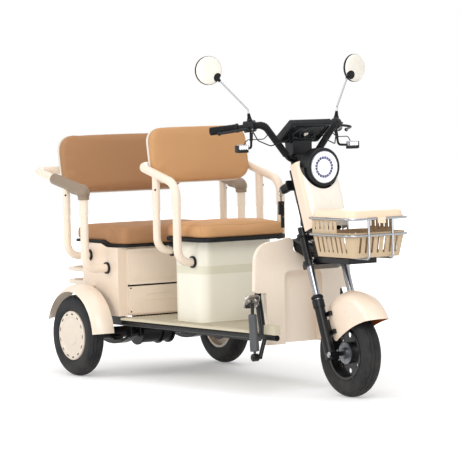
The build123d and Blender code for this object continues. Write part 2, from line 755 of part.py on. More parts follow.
def rear_box_profile(wall):
    """The rear box seen from the side: higher at the back, stepped down at the front."""
    top = REAR_BOX_TOP_Z + wall
    return [
        (REAR_BOX_REAR_X + wall, REAR_BOX_BOTTOM_Z + wall),
        (REAR_BOX_FRONT_X - wall, REAR_BOX_BOTTOM_Z + wall),
        (REAR_BOX_FRONT_X - wall, top - REAR_BOX_STEP),
        (REAR_BOX_STEP_X, top - REAR_BOX_STEP),
        (REAR_BOX_STEP_X - 50.0, top),
        (REAR_BOX_REAR_X + wall, top),
    ]


def rear_box_block(wall):
    """The rear box as one block, each face moved in by the wall."""
    with BuildPart() as block:
        with BuildSketch(Plane.XZ):
            Polygon(*rear_box_profile(wall), align=None)
        extrude(amount=REAR_BOX_HALF - wall, both=True)
        fillet(
            block.edges().filter_by(Axis.Z).group_by(Axis.X)[0],
            radius=REAR_BOX_CORNER - wall,
        )
    return block.part


rear_outside = rear_box_block(0.0)
rear_inside = rear_box_block(SEAT_BOX_WALL)
with BuildPart() as rear_box:
    add(rear_outside)
    add(rear_inside, mode=Mode.SUBTRACT)
    add(rear_lugs)
rear_box.part.label = "rear_box"
export_step(rear_box.part, "parts/rear_box.step")

panel_top = REAR_BOX_TOP_Z - REAR_BOX_STEP - 8.0
panel_bottom = FLOOR_TOP + 14.0
upper_bottom = PANEL_SPLIT_Z + PANEL_SPLIT_GAP / 2
lower_top = PANEL_SPLIT_Z - PANEL_SPLIT_GAP / 2
with BuildPart() as rear_box_panels:
    with BuildSketch(Plane.YZ.offset(REAR_BOX_FRONT_X + FIT)):
        with Locations((0, (panel_top + upper_bottom) / 2)):
            RectangleRounded(2 * PANEL_HALF, panel_top - upper_bottom, 8.0)
        with Locations((0, (lower_top + panel_bottom) / 2)):
            RectangleRounded(2 * PANEL_HALF, lower_top - panel_bottom, 8.0)
    extrude(amount=PANEL_THICKNESS)
rear_box_panels.part.label = "rear_box_panels"
export_step(rear_box_panels.part, "parts/rear_box_panels.step")

# ------------------------------------------------------------------ seats
HINGE_COVER = 3.0
FRONT_SEAT_FRONT_X = FRONT_BOX_FRONT_X + FRONT_SEAT_OVERHANG
FRONT_SEAT_REAR_X = FRONT_BOX_REAR_X - HINGE_REACH - HINGE_RADIUS - HINGE_COVER
FRONT_SEAT_LENGTH = FRONT_SEAT_FRONT_X - FRONT_SEAT_REAR_X
front_base_z = FRONT_BOX_TOP_Z + FIT
front_cushion_z = front_base_z + SEAT_BASE_THICKNESS + FIT
front_seat_x = (FRONT_SEAT_FRONT_X + FRONT_SEAT_REAR_X) / 2
with BuildPart() as front_seat_base:
    with BuildSketch(Plane.XY.offset(front_base_z)):
        with Locations((front_seat_x, 0)):
            RectangleRounded(FRONT_SEAT_LENGTH, 2 * FRONT_SEAT_HALF, 60.0)
    extrude(amount=SEAT_BASE_THICKNESS)
    add(front_ears)
front_seat_base.part.label = "front_seat_base"
export_step(front_seat_base.part, "parts/front_seat_base.step")

with BuildPart() as front_seat_cushion:
    with BuildSketch(Plane.XY.offset(front_cushion_z)):
        with Locations((front_seat_x, 0)):
            RectangleRounded(FRONT_SEAT_LENGTH - 4.0, 2 * FRONT_SEAT_HALF - 4.0, 58.0)
    extrude(amount=FRONT_SEAT_THICKNESS)
    fillet(front_seat_cushion.faces().sort_by(Axis.Z)[-1].edges(), radius=24.0)
front_seat_cushion.part.label = "front_seat_cushion"
export_step(front_seat_cushion.part, "parts/front_seat_cushion.step")

REAR_SEAT_FRONT_X = REAR_BOX_FRONT_X + 24.0
REAR_SEAT_REAR_X = REAR_SEAT_FRONT_X - REAR_SEAT_LENGTH


def seat_step(lift, rear_x, front_x):
    """The stepped line of the rear box's rim, raised by the lift, from front to back."""
    return [
        (front_x, REAR_BOX_TOP_Z - REAR_BOX_STEP + lift),
        (REAR_BOX_STEP_X, REAR_BOX_TOP_Z - REAR_BOX_STEP + lift),
        (REAR_BOX_STEP_X - 50.0, REAR_BOX_TOP_Z + lift),
        (rear_x, REAR_BOX_TOP_Z + lift),
    ]


REAR_BASE_THICKNESS = 12.0
with BuildPart() as rear_seat_base:
    with BuildSketch(Plane.XZ):
        Polygon(
            *seat_step(FIT, REAR_SEAT_REAR_X, REAR_SEAT_FRONT_X),
            *reversed(seat_step(FIT + REAR_BASE_THICKNESS, REAR_SEAT_REAR_X, REAR_SEAT_FRONT_X)),
            align=None,
        )
    extrude(amount=REAR_SEAT_HALF, both=True)
    fillet(rear_seat_base.edges().filter_by(Axis.Z), radius=36.0)
    add(rear_ears)
rear_seat_base.part.label = "rear_seat_base"
export_step(rear_seat_base.part, "parts/rear_seat_base.step")

rear_cushion_lift = 2 * FIT + REAR_BASE_THICKNESS
rear_cushion_top = REAR_BOX_TOP_Z + rear_cushion_lift + REAR_SEAT_THICKNESS
with BuildPart() as rear_seat_cushion:
    with BuildSketch(Plane.XZ):
        Polygon(
            *seat_step(rear_cushion_lift, REAR_SEAT_REAR_X + 2.0, REAR_SEAT_FRONT_X - 2.0),
            (REAR_SEAT_REAR_X + 2.0, rear_cushion_top),
            (REAR_SEAT_FRONT_X - 2.0, rear_cushion_top),
            align=None,
        )
    extrude(amount=REAR_SEAT_HALF - 2.0, both=True)
    fillet(rear_seat_cushion.edges().filter_by(Axis.Z), radius=34.0)
    fillet(rear_seat_cushion.faces().sort_by(Axis.Z)[-1].edges(), radius=26.0)
rear_seat_cushion.part.label = "rear_seat_cushion"
export_step(rear_seat_cushion.part, "parts/rear_seat_cushion.step")

# ------------------------------------------------------------------ backrests and arms
FRONT_BACK_X = REAR_AXLE_X + 462.0
FRONT_BACK_Z = 892.0
REAR_BACK_X = REAR_AXLE_X - 246.0
REAR_BACK_Z = 832.0


def back_plane(rear_x, bottom_z):
    """The upright plane through a backrest's middle back, leaning rearwards; x is +Y."""
    tilt = math.radians(BACK_TILT)
    return Plane(
        origin=(rear_x, 0, bottom_z),
        x_dir=(0, 1, 0),
        z_dir=(math.cos(tilt), 0, math.sin(tilt)),
    )


def make_back_slab(plane, half, height, thickness, corner, edge):
    with BuildPart() as slab:
        with BuildSketch(plane):
            with Locations((0, height / 2)):
                RectangleRounded(2 * half, height, corner)
        extrude(amount=thickness)
        fillet(slab.faces().sort_by(Axis.X)[-1].edges(), radius=edge)
    return slab


front_back = back_plane(FRONT_BACK_X - 38.0, FRONT_BACK_Z)
rear_back = back_plane(REAR_BACK_X - 2.0, REAR_BACK_Z)
front_backrest_shell = make_back_slab(
    front_back, FRONT_BACK_HALF - 3.0, BACK_HEIGHT, BACK_SHELL, BACK_CORNER - 2.0, 3.0
)
front_backrest_shell.part.label = "front_backrest_shell"
export_step(front_backrest_shell.part, "parts/front_backrest_shell.step")
front_backrest_cushion = make_back_slab(
    front_back.offset(BACK_SHELL + FIT), FRONT_BACK_HALF, BACK_HEIGHT, BACK_CUSHION, BACK_CORNER, 16.0
)
front_backrest_cushion.part.label = "front_backrest_cushion"
export_step(front_backrest_cushion.part, "parts/front_backrest_cushion.step")
rear_backrest_shell = make_back_slab(
    rear_back, REAR_BACK_HALF - 3.0, REAR_BACK_HEIGHT, BACK_SHELL, BACK_CORNER + 4.0, 3.0
)
rear_backrest_shell.part.label = "rear_backrest_shell"
export_step(rear_backrest_shell.part, "parts/rear_backrest_shell.step")
rear_backrest_cushion = make_back_slab(
    rear_back.offset(BACK_SHELL + FIT),
    REAR_BACK_HALF,
    REAR_BACK_HEIGHT,
    BACK_CUSHION,
    BACK_CORNER + 6.0,
    16.0,
)
rear_backrest_cushion.part.label = "rear_backrest_cushion"
export_step(rear_backrest_cushion.part, "parts/rear_backrest_cushion.step")

BRACKET_WIDTH = 40.0
BRACKET_HEIGHT = 60.0


def loop_back_x(plane, loop_z):
    """Where the loop tube runs so that it lies just behind the shell's back at that height."""
    tilt = math.radians(BACK_TILT)
    back_x = plane.origin.X - (loop_z - plane.origin.Z) * math.tan(tilt)
    return back_x - ARM_TUBE / 2 / math.cos(tilt) - BACK_GAP


FRONT_ARM_X = REAR_AXLE_X + 676.0
FRONT_ARM_Z = 895.0
FRONT_LOOP_Z = 972.0
FRONT_POST_X = REAR_AXLE_X + 508.0
REAR_ARM_X = REAR_AXLE_X + 130.0
REAR_ARM_Z = 860.0
REAR_LOOP_Z = 945.0
REAR_POST_X = REAR_AXLE_X - 25.0
FRONT_FLANGE_Z = 546.0
FRONT_POST_FLANGE_Z = 592.0
REAR_FLANGE_Z = 501.0
REAR_POST_FLANGE_Z = 555.0
front_loop_x = loop_back_x(front_back, FRONT_LOOP_Z)
rear_loop_x = loop_back_x(rear_back, REAR_LOOP_Z)


def arm_loop(arm_x, arm_z, loop_x, loop_z, half, box_half, flange_z, arm_bend):
    """One tube: flange, lower bend, upright, arm, round the back and down the other side."""
    return bent_tube(
        mirrored_points(
            [
                (arm_x, -box_half - FIT, flange_z),
                (arm_x, -half, flange_z),
                (arm_x, -half, arm_z),
                (loop_x, -half, loop_z),
            ]
        ),
        ARM_TUBE,
        [LOWER_BEND, arm_bend, LOOP_BEND, LOOP_BEND, arm_bend, LOWER_BEND],
    )


def arm_post(post_x, post_top_z, half, box_half, flange_z):
    """The second upright: from its flange on the box up into the arm."""
    return bent_tube(
        [
            (post_x, -box_half - FIT, flange_z),
            (post_x, -half, flange_z),
            (post_x, -half, post_top_z),
        ],
        POST_TUBE,
        LOWER_BEND,
    )


def arm_height(x, arm_x, arm_z, loop_x, loop_z):
    return arm_z + (arm_x - x) / (arm_x - loop_x) * (loop_z - arm_z)


def make_arm_frame(arm, post_x, post_flange_z, back):
    arm_x, arm_z, loop_x, loop_z, half, box_half = arm[:6]
    loop_tube = arm_loop(*arm)
    post = arm_post(
        post_x, arm_height(post_x, arm_x, arm_z, loop_x, loop_z), half, box_half, post_flange_z
    )
    with BuildPart() as arms:
        add(loop_tube)
        add(post)
        mirror(post, about=Plane.XZ)
        for bracket_y in (-half / 2, half / 2):
            with BuildSketch(back.offset(-FIT)):
                with Locations((bracket_y, (loop_z - back.origin.Z) / math.cos(math.radians(BACK_TILT)))):
                    Rectangle(BRACKET_WIDTH, BRACKET_HEIGHT)
            extrude(amount=-(ARM_TUBE / 2 + BACK_GAP))
    return arms


front_arm = (
    FRONT_ARM_X,
    FRONT_ARM_Z,
    front_loop_x,
    FRONT_LOOP_Z,
    FRONT_ARM_HALF,
    FRONT_BOX_HALF,
    FRONT_FLANGE_Z,
    ARM_BEND,
)
front_armrest_frame = make_arm_frame(front_arm, FRONT_POST_X, FRONT_POST_FLANGE_Z, front_back)
front_armrest_frame.part.label = "front_armrest_frame"
export_step(front_armrest_frame.part, "parts/front_armrest_frame.step")
rear_arm = (
    REAR_ARM_X,
    REAR_ARM_Z,
    rear_loop_x,
    REAR_LOOP_Z,
    REAR_ARM_HALF,
    REAR_BOX_HALF,
    REAR_FLANGE_Z,
    REAR_ARM_BEND,
)
rear_armrest_frame = make_arm_frame(rear_arm, REAR_POST_X, REAR_POST_FLANGE_Z, rear_back)
rear_armrest_frame.part.label = "rear_armrest_frame"
export_step(rear_armrest_frame.part, "parts/rear_armrest_frame.step")

# ------------------------------------------------------------------ collars and arm pads
PAD_WIDTH = 52.0
PAD_REAR_X = REAR_AXLE_X - 129.0
PAD_LEG = 40.0


def collar(at_x, box_half, at_z, outward, tube):
    """A ring that lies flat on the box side round an arm tube's foot."""
    with BuildPart() as ring:
        with BuildSketch(
            Plane(
                origin=(at_x, outward * (box_half + FIT), at_z),
                x_dir=(1, 0, 0),
                z_dir=(0, outward, 0),
            )
        ):
            Circle(COLLAR_DIAMETER / 2)
            Circle(tube / 2 + FIT, mode=Mode.SUBTRACT)
        extrude(amount=COLLAR_LENGTH)
    return ring.part


collar_seats = [
    (FRONT_ARM_X, FRONT_BOX_HALF, FRONT_FLANGE_Z, ARM_TUBE),
    (FRONT_POST_X, FRONT_BOX_HALF, FRONT_POST_FLANGE_Z, POST_TUBE),
    (REAR_ARM_X, REAR_BOX_HALF, REAR_FLANGE_Z, ARM_TUBE),
    (REAR_POST_X, REAR_BOX_HALF, REAR_POST_FLANGE_Z, POST_TUBE),
]
collars = [
    collar(at_x, box_half, at_z, outward, tube)
    for at_x, box_half, at_z, tube in collar_seats
    for outward in (-1, 1)
]
with BuildPart() as armrest_collars:
    for ring in collars:
        add(ring)
armrest_collars.part.label = "armrest_collars"
export_step(armrest_collars.part, "parts/armrest_collars.step")

pad_rear = (
    PAD_REAR_X,
    -REAR_ARM_HALF,
    arm_height(PAD_REAR_X, REAR_ARM_X, REAR_ARM_Z, rear_loop_x, REAR_LOOP_Z),
)
pad_points = [
    (REAR_ARM_X, -REAR_ARM_HALF, REAR_ARM_Z - PAD_LEG),
    (REAR_ARM_X, -REAR_ARM_HALF, REAR_ARM_Z),
    pad_rear,
]
post_top_z = arm_height(REAR_POST_X, REAR_ARM_X, REAR_ARM_Z, rear_loop_x, REAR_LOOP_Z)
pad_outside = bent_tube(pad_points, PAD_WIDTH, REAR_ARM_BEND)
pad_bore = bent_tube(pad_points, ARM_TUBE + 2 * FIT, REAR_ARM_BEND)
with BuildPart() as rear_arm_pads:
    add(pad_outside)
    add(pad_bore, mode=Mode.SUBTRACT)
    with Locations((REAR_POST_X, -REAR_ARM_HALF, post_top_z)):
        Cylinder(
            POST_TUBE / 2 + 1.0,
            2 * PAD_WIDTH,
            align=(Align.CENTER, Align.CENTER, Align.MAX),
            mode=Mode.SUBTRACT,
        )
    mirror(about=Plane.XZ)
rear_arm_pads.part.label = "rear_arm_pads"
export_step(rear_arm_pads.part, "parts/rear_arm_pads.step")

# ------------------------------------------------------------------ rear fenders
FENDER_RADIUS = 238.0
FENDER_INNER_Y = TRACK / 2 - 56.0
FENDER_OUTER_Y = TRACK / 2 + 46.0
FENDER_WALL = 3.0
FENDER_START = 5.0
FENDER_SWEEP = 158.0
FENDER_INNER_DROP = 8.0
FENDER_OUTER_DROP = 34.0
FENDER_CROWN_Y = TRACK / 2 - 14.0
TAB_WIDTH = 40.0


def fender_plane(angle):
    """The plane through the axle line whose x is +Y and whose y points out at the angle."""
    turn = math.radians(angle)
    return Plane(
        origin=(REAR_AXLE_X, 0, AXLE_Z),
        x_dir=(0, 1, 0),
        z_dir=(math.sin(turn), 0, -math.cos(turn)),
    )


with BuildPart() as one_fender:
    with BuildSketch(fender_plane(FENDER_START)):
        with BuildLine():
            outer_arc = ThreePointArc(
                (FENDER_INNER_Y, FENDER_RADIUS - FENDER_INNER_DROP),
                (FENDER_CROWN_Y, FENDER_RADIUS),
                (FENDER_OUTER_Y, FENDER_RADIUS - FENDER_OUTER_DROP),
            )
            inner_arc = ThreePointArc(
                (FENDER_INNER_Y, FENDER_RADIUS - FENDER_INNER_DROP - FENDER_WALL),
                (FENDER_CROWN_Y, FENDER_RADIUS - FENDER_WALL),
                (FENDER_OUTER_Y - FENDER_WALL, FENDER_RADIUS - FENDER_OUTER_DROP),
            )
            Line(outer_arc @ 0, inner_arc @ 0)
            Line(outer_arc @ 1, inner_arc @ 1)
        make_face()
    revolve(axis=Axis((REAR_AXLE_X, 0, AXLE_Z), (0, -1, 0)), revolution_arc=FENDER_SWEEP)
fender_shape = one_fender.part
with BuildPart() as rear_fenders:
    add(fender_shape)
    tab_z = AXLE_Z + FENDER_RADIUS - FENDER_INNER_DROP - 8.0
    with Locations((REAR_AXLE_X, (REAR_BOX_HALF + FIT + FENDER_INNER_Y + 6.0) / 2, tab_z)):
        Box(
            TAB_WIDTH,
            FENDER_INNER_Y + 6.0 - REAR_BOX_HALF - FIT,
            6.0,
            align=(Align.CENTER, Align.CENTER, Align.MIN),
        )
    mirror(about=Plane.XZ)
rear_fenders.part.label = "rear_fenders"
export_step(rear_fenders.part, "parts/rear_fenders.step")

# ------------------------------------------------------------------ tail lamps and bumper
LAMP_HEIGHT = 70.0
LAMP_Z = 541.0
LAMP_DEPTH = 22.0
LAMP_LENGTH = 60.0
BUMPER_REACH = 232.0
BUMPER_HALF = 262.0
BUMPER_TUBE = 20.0
BUMPER_LOW_Z = 415.0
BUMPER_HIGH_Z = 475.0
with BuildPart() as tail_lamps:
    with Locations(
        (REAR_BOX_REAR_X - FIT, REAR_BOX_HALF - 88.0, LAMP_Z),
        (REAR_BOX_REAR_X - FIT, -REAR_BOX_HALF + 88.0, LAMP_Z),
    ):
        Box(
            LAMP_DEPTH,
            LAMP_LENGTH,
            LAMP_HEIGHT,
            align=(Align.MAX, Align.CENTER, Align.CENTER),
        )
    fillet(tail_lamps.edges().filter_by(Axis.Z).group_by(Axis.X)[0], radius=8.0)
tail_lamps.part.label = "tail_lamps"
export_step(tail_lamps.part, "parts/tail_lamps.step")

bumper_hoops = [
    bent_tube(
        mirrored_points(
            [
                (REAR_BOX_REAR_X - FIT, -BUMPER_HALF, hoop_z),
                (REAR_BOX_REAR_X - BUMPER_REACH, -BUMPER_HALF, hoop_z),
            ]
        ),
        BUMPER_TUBE,
        70.0,
    )
    for hoop_z in (BUMPER_LOW_Z, BUMPER_HIGH_Z)
]
with BuildPart() as rear_bumper:
    for hoop_tube in bumper_hoops:
        add(hoop_tube)
    for strut_y in (-BUMPER_HALF / 2, BUMPER_HALF / 2):
        with Locations((REAR_BOX_REAR_X - BUMPER_REACH, strut_y, (BUMPER_LOW_Z + BUMPER_HIGH_Z) / 2)):
            Cylinder(BUMPER_TUBE / 2 - 2.0, BUMPER_HIGH_Z - BUMPER_LOW_Z)
rear_bumper.part.label = "rear_bumper"
export_step(rear_bumper.part, "parts/rear_bumper.step")

# ------------------------------------------------------------------ brake pedal
PEDAL_TOP_Z = 407.0
PEDAL_PAD_LENGTH = 62.0
PEDAL_PAD_WIDTH = 78.0
PEDAL_PAD_CORNER = 20.0
PEDAL_PAD_THICKNESS = 8.0
PEDAL_PAD_TILT = 62.0
PEDAL_BOOT = 34.0
PEDAL_ROD = 12.0
pedal_foot = (PEDAL_X + 6.0, PEDAL_Y, PEDAL_PIVOT_Z)
pedal_head = (PEDAL_X - 14.0, PEDAL_Y, PEDAL_TOP_Z)
boot_top = (PEDAL_X - 8.0, PEDAL_Y, 352.0)
boot_bottom = (PEDAL_X + 4.0, PEDAL_Y, 196.0)
pedal_plane = Plane(pedal_head).rotated((0, -PEDAL_PAD_TILT, 0))
pedal_rod = rod(pedal_foot, pedal_head, PEDAL_ROD)
pedal_boot = rod(boot_bottom, boot_top, PEDAL_BOOT)
with BuildPart() as brake_pedal:
    add(pedal_rod)
    add(pedal_boot)
    with Locations((PEDAL_X + 6.0, PEDAL_Y, PEDAL_PIVOT_Z)):
        Cylinder(PEDAL_PIVOT_DIAMETER / 2 + 7.0, 24.0, rotation=(90, 0, 0))
    with BuildSketch(pedal_plane):
        RectangleRounded(PEDAL_PAD_LENGTH, PEDAL_PAD_WIDTH, PEDAL_PAD_CORNER)
    extrude(amount=PEDAL_PAD_THICKNESS / 2, both=True)
    with Locations((PEDAL_X + 6.0, PEDAL_Y, PEDAL_PIVOT_Z)):
        Cylinder(
            PEDAL_PIVOT_DIAMETER / 2 + FIT, 60.0, rotation=(90, 0, 0), mode=Mode.SUBTRACT
        )
brake_pedal.part.label = "brake_pedal"
export_step(brake_pedal.part, "parts/brake_pedal.step")

# ------------------------------------------------------------------ front fork
CLAMP_HALF_HEIGHT = 12.0
LEG_HALF = 91.0
UPPER_TUBE = 34.0
STANCHION = 31.0
SLIDER = 44.0
SLIDER_COLLAR = 52.0
STANCHION_LENGTH = 150.0
UPPER_CLAMP_H = 126.0
UPPER_CLAMP_HALF = 6.0
UPPER_TUBE_TOP_H = 160.0
STEERER_TOP_H = 450.0
CLAMP_RING = 54.0
SLIDER_FOOT = 16.0
stanchion_top_h = -CLAMP_HALF_HEIGHT
slider_top_h = stanchion_top_h - STANCHION_LENGTH
slider_bottom_h = AXLE_H - SLIDER_FOOT


def clamp_sketch(height):
    """A fork clamp: a bar from leg to leg with a ring round each leg."""
    with BuildSketch(STEER.offset(height)) as clamp:
        with Locations((LEG_OFFSET / 2, 0)):
            Rectangle(LEG_OFFSET + 44.0, 2 * LEG_HALF)
        with Locations((LEG_OFFSET, -LEG_HALF), (LEG_OFFSET, LEG_HALF)):
            Circle(CLAMP_RING / 2)
    return clamp.sketch


def leg_sketch(height, diameter):
    with BuildSketch(STEER.offset(height)) as legs:
        with Locations((LEG_OFFSET, -LEG_HALF), (LEG_OFFSET, LEG_HALF)):
            Circle(diameter / 2)
    return legs.sketch


RACK_REAR_X = FRONT_AXLE_X - 86.0
RACK_LENGTH = 316.0
RACK_HALF = 155.0
RACK_WIRE = 10.0
RACK_TOP_Z = 765.0
RACK_MID_Z = 697.0
RACK_BOTTOM_Z = 598.0
RACK_HOOP_Y = 62.0
RACK_FRONT_X = RACK_REAR_X + RACK_LENGTH
up_axis = tuple(STEER.z_dir)
lower_clamp = clamp_sketch(-CLAMP_HALF_HEIGHT)
upper_clamp = clamp_sketch(UPPER_CLAMP_H - UPPER_CLAMP_HALF)
upper_legs = leg_sketch(0, UPPER_TUBE)
bracket_rear_x = HEAD_X + 38.0
with BuildPart() as fork_crown:
    extrude(lower_clamp, amount=2 * CLAMP_HALF_HEIGHT, dir=up_axis)
    extrude(upper_clamp, amount=2 * UPPER_CLAMP_HALF, dir=up_axis)
    extrude(upper_legs, amount=UPPER_TUBE_TOP_H, dir=up_axis)
    with BuildSketch(STEER):
        Circle(STEERER / 2)
    extrude(amount=STEERER_TOP_H)
    with Locations((bracket_rear_x, 0, RACK_BOTTOM_Z - RACK_WIRE / 2 - FIT)):
        Box(
            RACK_FRONT_X - 130.0 - bracket_rear_x,
            2 * RACK_HOOP_Y + 24.0,
            22.0,
            align=(Align.MIN, Align.CENTER, Align.MAX),
        )
fork_crown.part.label = "fork_crown"
export_step(fork_crown.part, "parts/fork_crown.step")

stanchion_legs = leg_sketch(slider_top_h + FIT, STANCHION)
with BuildPart() as fork_stanchions:
    extrude(stanchion_legs, amount=STANCHION_LENGTH - 2 * FIT, dir=up_axis)
fork_stanchions.part.label = "fork_stanchions"
export_step(fork_stanchions.part, "parts/fork_stanchions.step")

FRONT_FENDER_HALF = 60.0
SPACER_DIAMETER = 20.0
HUB_SIDE_GAP = 1.5
slider_legs = leg_sketch(slider_bottom_h, SLIDER)
slider_collars = leg_sketch(slider_top_h - 34.0, SLIDER_COLLAR)
with BuildPart() as fork_sliders:
    extrude(slider_legs, amount=slider_top_h - slider_bottom_h, dir=up_axis)
    extrude(slider_collars, amount=34.0, dir=up_axis)
    for leg_y in (-LEG_HALF, LEG_HALF):
        with BuildSketch(STEER_SIDE.offset(-leg_y)):
            with Locations(((LEG_OFFSET + AXLE_OFFSET) / 2, AXLE_H)):
                SlotCenterToCenter(AXLE_OFFSET - LEG_OFFSET, 2 * SLIDER_FOOT)
        extrude(amount=11.0, both=True)
        inward = -1 if leg_y > 0 else 1
        stay_start = leg_y + inward * (SLIDER / 2 - 6.0)
        stay_end = -inward * (FRONT_FENDER_HALF + FIT)
        for stay_h in (AXLE_H + 96.0, AXLE_H + 176.0):
            with BuildSketch(STEER_SIDE.offset(-stay_start)):
                with Locations((LEG_OFFSET + SLIDER / 2 + 2.0, stay_h)):
                    Rectangle(30.0, 18.0)
            extrude(amount=stay_start - stay_end)
    with Locations((FRONT_AXLE_X, 0, AXLE_Z)):
        Cylinder(FRONT_AXLE_DIAMETER / 2, 2 * (LEG_HALF + 20.0), rotation=(90, 0, 0))
    for spacer_side in (-1, 1):
        spacer_inner = FRONT_HUB_HALF + HUB_SIDE_GAP
        with Locations((FRONT_AXLE_X, spacer_side * (spacer_inner + LEG_HALF) / 2, AXLE_Z)):
            Cylinder(SPACER_DIAMETER / 2, LEG_HALF - spacer_inner, rotation=(90, 0, 0))
fork_sliders.part.label = "fork_sliders"
export_step(fork_sliders.part, "parts/fork_sliders.step")

# ------------------------------------------------------------------ front fender
FRONT_FENDER_RADIUS = 207.0
FRONT_FENDER_AHEAD = 53.0
FRONT_FENDER_LIFT = 63.0
FRONT_FENDER_WALL = 2.6
FENDER_CROWN = 56.0
arch_x = FRONT_AXLE_X + FRONT_FENDER_AHEAD
arch_z = AXLE_Z + FRONT_FENDER_LIFT
skirt_z = arch_z + 4.0
crown_start_z = arch_z + FRONT_FENDER_RADIUS - FENDER_CROWN
inner_half = FRONT_FENDER_HALF - FRONT_FENDER_WALL
with BuildPart() as front_fender:
    with BuildSketch(Plane.YZ.offset(arch_x)):
        with BuildLine():
            EllipticalCenterArc(
                (0, crown_start_z), FRONT_FENDER_HALF, FENDER_CROWN, arc_size=180
            )
            EllipticalCenterArc(
                (0, crown_start_z), inner_half, FENDER_CROWN - FRONT_FENDER_WALL, arc_size=180
            )
            for side in (-1, 1):
                Polyline(
                    (side * FRONT_FENDER_HALF, crown_start_z),
                    (side * FRONT_FENDER_HALF, skirt_z),
                    (side * inner_half, skirt_z),
                    (side * inner_half, crown_start_z),
                )
        make_face()
    revolve(axis=Axis((arch_x, 0, arch_z), (0, 1, 0)))
    with BuildSketch(Plane.XZ):
        with BuildLine():
            Polyline(
                (FRONT_AXLE_X + 246.0, AXLE_Z + 160.0),
                (FRONT_AXLE_X + 280.0, AXLE_Z + 300.0),
                (FRONT_AXLE_X - 110.0, AXLE_Z + 300.0),
                (FRONT_AXLE_X - 90.0, AXLE_Z + 212.0),
                (FRONT_AXLE_X - 33.0, AXLE_Z + 62.0),
            )
            ThreePointArc(
                (FRONT_AXLE_X - 33.0, AXLE_Z + 62.0),
                (FRONT_AXLE_X - 19.0, AXLE_Z + 53.0),
                (FRONT_AXLE_X - 4.0, AXLE_Z + 60.0),
            )
            Spline(
                (FRONT_AXLE_X - 4.0, AXLE_Z + 60.0),
                (FRONT_AXLE_X + 97.0, AXLE_Z + 118.0),
                (FRONT_AXLE_X + 246.0, AXLE_Z + 160.0),
            )
        make_face()
    extrude(amount=2 * FRONT_FENDER_HALF, both=True, mode=Mode.INTERSECT)
front_fender.part.label = "front_fender"
export_step(front_fender.part, "parts/front_fender.step")

# ------------------------------------------------------------------ cowl and headlight
COWL_HALF = 100.0
COWL_REAR_F = 62.0
COWL_FRONT_F = 130.0
COWL_BOTTOM_H = 134.0
COWL_TOP_DROP = 19.0
COWL_TOP_H = STEERER_TOP_H - COWL_TOP_DROP
COWL_WALL = 3.0
COWL_CORNER = 32.0
LAMP_CENTRE_X = FRONT_AXLE_X - 160.0
LAMP_CENTRE_Z = 973.0
LAMP_SHELL_DIAMETER = 162.0
LAMP_SHROUD_DIAMETER = 184.0
LENS_DIAMETER = 138.0
LENS_THICKNESS = 6.0
lamp_front_x = LAMP_CENTRE_X - 4.0


def lamp_plane(at_x):
    return Plane(origin=(at_x, 0, LAMP_CENTRE_Z), x_dir=(0, 1, 0), z_dir=(1, 0, 0))


cowl_depth = COWL_FRONT_F - COWL_REAR_F
with BuildPart() as cowl:
    with BuildSketch(STEER.offset(COWL_BOTTOM_H)):
        with Locations((COWL_FRONT_F - cowl_depth, 0)):
            RectangleRounded(2 * cowl_depth, 2 * COWL_HALF, COWL_CORNER)
    extrude(amount=COWL_TOP_H - COWL_BOTTOM_H)
    with BuildSketch(STEER.offset(COWL_BOTTOM_H)):
        with Locations((COWL_FRONT_F - cowl_depth, 0)):
            RectangleRounded(
                2 * (cowl_depth - COWL_WALL), 2 * (COWL_HALF - COWL_WALL), COWL_CORNER - COWL_WALL
            )
    extrude(amount=COWL_TOP_H - COWL_BOTTOM_H - COWL_WALL, mode=Mode.SUBTRACT)
    with BuildSketch(STEER.offset(COWL_BOTTOM_H - 1.0)):
        with Locations((COWL_REAR_F - cowl_depth, 0)):
            Rectangle(2 * cowl_depth, 4 * COWL_HALF)
    extrude(amount=COWL_TOP_H - COWL_BOTTOM_H + 2.0, mode=Mode.SUBTRACT)
    with BuildSketch(lamp_plane(lamp_front_x - 200.0)):
        Circle(LAMP_SHROUD_DIAMETER / 2 + FIT)
    extrude(amount=300.0, mode=Mode.SUBTRACT)
cowl.part.label = "cowl"
export_step(cowl.part, "parts/cowl.step")

SHROUD_HALF = 40.0
SHROUD_REAR_F = -32.0
SHROUD_FLARE_F = -56.0
SHROUD_BOTTOM_H = 137.0
SHROUD_TOP_DROP = 12.0
SHROUD_TOP_H = STEERER_TOP_H - SHROUD_TOP_DROP
SHROUD_WALL = 3.0
PLATE_THICKNESS = 5.0
plate_rear_f = COWL_REAR_F - FIT - PLATE_THICKNESS


def shroud_profile(inset, overlap):
    """The stem cover from the side: upright behind, flared at its foot."""
    front_f = plate_rear_f + overlap
    return [
        (front_f, SHROUD_BOTTOM_H + inset),
        (SHROUD_FLARE_F + inset, SHROUD_BOTTOM_H + inset),
        (SHROUD_FLARE_F + inset, SHROUD_BOTTOM_H + 16.0),
        (SHROUD_REAR_F + inset, SHROUD_BOTTOM_H + 84.0),
        (SHROUD_REAR_F + inset, SHROUD_TOP_H - inset),
        (front_f, SHROUD_TOP_H - inset),
    ]


